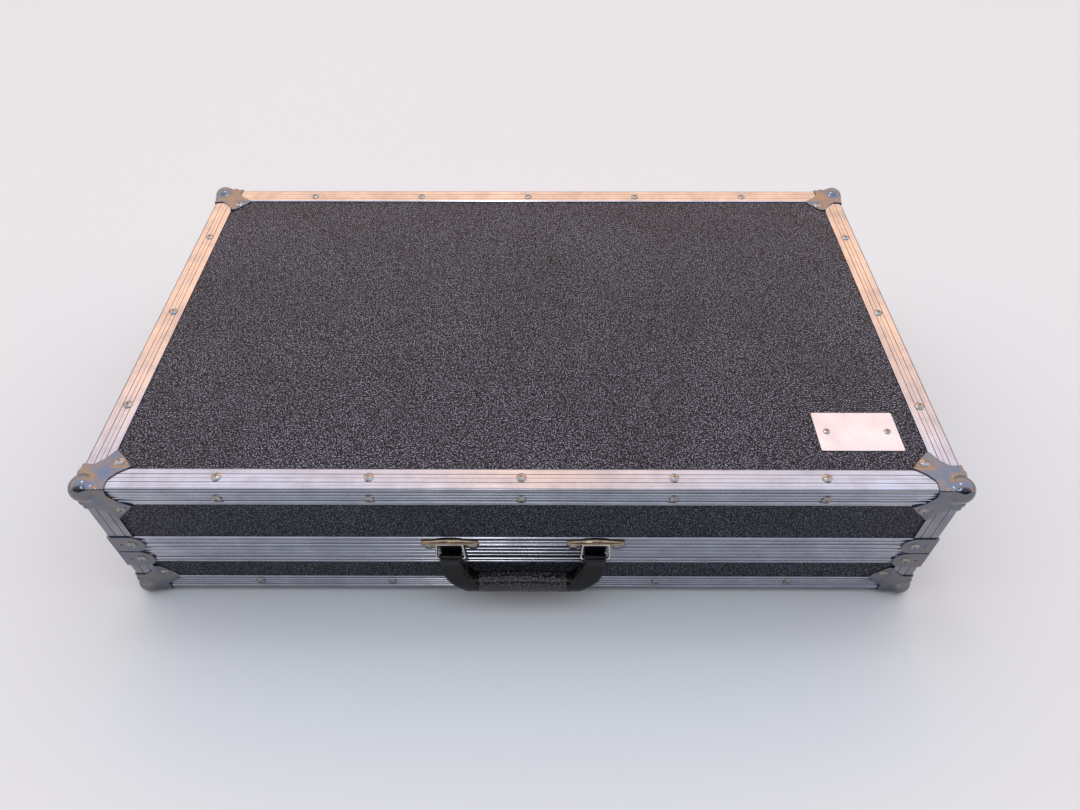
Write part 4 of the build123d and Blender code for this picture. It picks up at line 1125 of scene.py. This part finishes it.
@dataclass
class Studio:
    """Pale floor, soft lights, and the camera at the photograph's place."""

    floor_colour: str = "#d8dfe0"
    floor_bounce: str = "#7d8283"
    camera_mm: tuple[float, float, float] = (18.538, -631.826, 740.288)
    pitch: float = 47.98465
    yaw: float = -0.23303
    roll: float = -0.06553
    lens: float = 25.644
    sensor: float = 36.0
    key_power: float = 3.0
    front_power: float = 0.8
    sky: str = "#c9cddc"
    wall: str = "#fccfae"
    front_sky: str = "#5a5c64"
    dim_side: str = "#202126"
    horizon: str = "#a3a5a8"
    bright_side: tuple[float, float, float] = (0.0, 0.5, 0.866)
    # how much a direction's lean to either side counts as height
    side_lift: float = 0.35
    # spans of a direction's height, depth or lean over which one tone turns into the next
    ceiling_span: tuple[float, float] = (0.79, 0.88)
    front_span: tuple[float, float] = (-0.6, 0.0)
    dim_span: tuple[float, float] = (0.0, 0.25)
    horizon_span: tuple[float, float] = (0.2, 0.36)
    sky_strength: float = 2.3

    def floor(self) -> None:
        """Lay the floor under the case: pale where it is seen or mirrored, with a weaker bounce of light."""
        mesh = bpy.data.meshes.new("studio_floor")
        mesh.from_pydata([(-6, -6, 0), (6, -6, 0), (6, 9, 0), (-6, 9, 0)], [], [(0, 1, 2, 3)])
        floor = bpy.data.objects.new("studio_floor", mesh)
        bpy.context.scene.collection.objects.link(floor)
        material, tree, _ = start_material("pale_floor")
        path = add_node(tree, "ShaderNodeLightPath").outputs
        seen = add_node(tree, "ShaderNodeMath", {"operation": "MAXIMUM"},
                        {0: path["Is Camera Ray"], 1: path["Is Glossy Ray"]})
        seen = add_node(tree, "ShaderNodeMath", {"operation": "MAXIMUM"},
                        {0: seen.outputs[0], 1: path["Is Transmission Ray"]})
        colour = add_node(tree, "ShaderNodeMix", two_tones(self.floor_bounce, self.floor_colour),
                          {SHARE: seen.outputs[0]})
        shader = add_node(tree, "ShaderNodeBsdfPrincipled", {"Roughness": 0.9, "Specular IOR Level": 0.1},
                          {"Base Color": colour.outputs[MIXED]})
        add_node(tree, "ShaderNodeOutputMaterial", None, {"Surface": shader.outputs["BSDF"]})
        mesh.materials.append(material)

    def world(self) -> None:
        """Light the scene from a cool ceiling over warm walls.

        The light falls off towards the camera's side and below the dim side's plane, and turns grey near the
        horizon. Each tone gives way to the next over a smooth span of the direction's parts.
        """
        world = bpy.data.worlds.new("studio_world")
        bpy.context.scene.world = world
        world.use_nodes = True
        tree = world.node_tree
        tree.nodes.clear()
        direction = add_node(tree, "ShaderNodeTexCoord").outputs["Generated"]
        parts = add_node(tree, "ShaderNodeSeparateXYZ", None, {0: direction}).outputs
        sideways = add_node(tree, "ShaderNodeMath", {"operation": "ABSOLUTE"}, {0: parts["X"]})
        rise = add_node(tree, "ShaderNodeMath", {"operation": "MULTIPLY_ADD", 1: self.side_lift},
                        {0: sideways.outputs[0], 2: parts["Z"]})
        lean = add_node(tree, "ShaderNodeVectorMath", {"operation": "DOT_PRODUCT", 1: self.bright_side},
                        {0: direction})
        smooth = {"interpolation_type": "SMOOTHSTEP"}
        ceiling = add_node(tree, "ShaderNodeMapRange", smooth | stretch(*self.ceiling_span),
                           {"Value": rise.outputs[0]})
        colour = add_node(tree, "ShaderNodeMix", two_tones(self.wall, self.sky), {SHARE: ceiling.outputs[0]})
        for tone, span, part in ((self.front_sky, self.front_span, parts["Y"]),
                                 (self.dim_side, self.dim_span, lean.outputs["Value"]),
                                 (self.horizon, self.horizon_span, parts["Z"])):
            share = add_node(tree, "ShaderNodeMapRange", smooth | stretch(*span), {"Value": part})
            colour = add_node(tree, "ShaderNodeMix", {"data_type": "RGBA", FIRST: linear(tone)},
                              {SHARE: share.outputs[0], SECOND: colour.outputs[MIXED]})
        light = add_node(tree, "ShaderNodeBackground", {"Strength": self.sky_strength},
                         {"Color": colour.outputs[MIXED]})
        add_node(tree, "ShaderNodeOutputWorld", None, {"Surface": light.outputs[0]})

    def lamp(self, name: str, place: tuple, target: tuple, size: tuple, power: float) -> None:
        """Hang one soft rectangular white lamp.

        Args:
            name: Name of the lamp.
            place: Its place, in metres.
            target: Point that it faces, in metres.
            size: Width and height, in metres.
            power: Power in watts.
        """
        data = bpy.data.lights.new(name, "AREA")
        data.shape, data.size, data.size_y = "RECTANGLE", *size
        data.energy, data.color = power, linear("#ffffff")[:3]
        lamp = bpy.data.objects.new(name, data)
        lamp.location = place
        lamp.rotation_euler = (Vector(target) - Vector(place)).to_track_quat("-Z", "Y").to_euler()
        bpy.context.scene.collection.objects.link(lamp)

    def camera(self) -> None:
        """Place the camera, which was solved from the straight edges of the case."""
        pitch, yaw, roll = np.radians((self.pitch, self.yaw, self.roll))
        forward = np.array((np.sin(yaw) * np.cos(pitch), np.cos(yaw) * np.cos(pitch), -np.sin(pitch)))
        level = np.cross(forward, (0, 0, 1))
        level /= np.linalg.norm(level)
        upright = np.cross(level, forward)
        right = np.cos(roll) * level + np.sin(roll) * upright
        up = np.cos(roll) * upright - np.sin(roll) * level
        data = bpy.data.cameras.new("photo_camera")
        data.sensor_width, data.sensor_fit, data.lens = self.sensor, "HORIZONTAL", self.lens
        camera = bpy.data.objects.new("photo_camera", data)
        turn = Matrix(np.stack((right, up, -forward), -1).tolist()).to_4x4()
        camera.matrix_world = Matrix.Translation(Vector(self.camera_mm) * MM) @ turn
        bpy.context.scene.collection.objects.link(camera)
        bpy.context.scene.camera = camera

    def build(self) -> None:
        """Set up the floor, the world, the lamps and the camera."""
        self.floor()
        self.world()
        self.lamp("key_softbox", place=(-0.2, 0.55, 2.5), target=(0, 0, 0.1), size=(0.35, 0.35),
                  power=self.key_power)
        self.lamp("front_softbox", place=(-0.15, -0.9, 1.45), target=(0, -0.24, 0.09), size=(0.3, 0.3),
                  power=self.front_power)
        self.camera()
        bpy.context.scene.view_settings.view_transform = "Standard"


def main() -> None:
    """Build every sub-assembly in order and log its pieces."""
    logging.basicConfig(level=logging.INFO, format="%(name)s: %(message)s")
    Shells().build()
    BallCorners().build()
    Fittings().build()
    CarryingHandle().build()
    FoamLining().build()
    Studio().build()


if __name__ == "__main__":
    main()
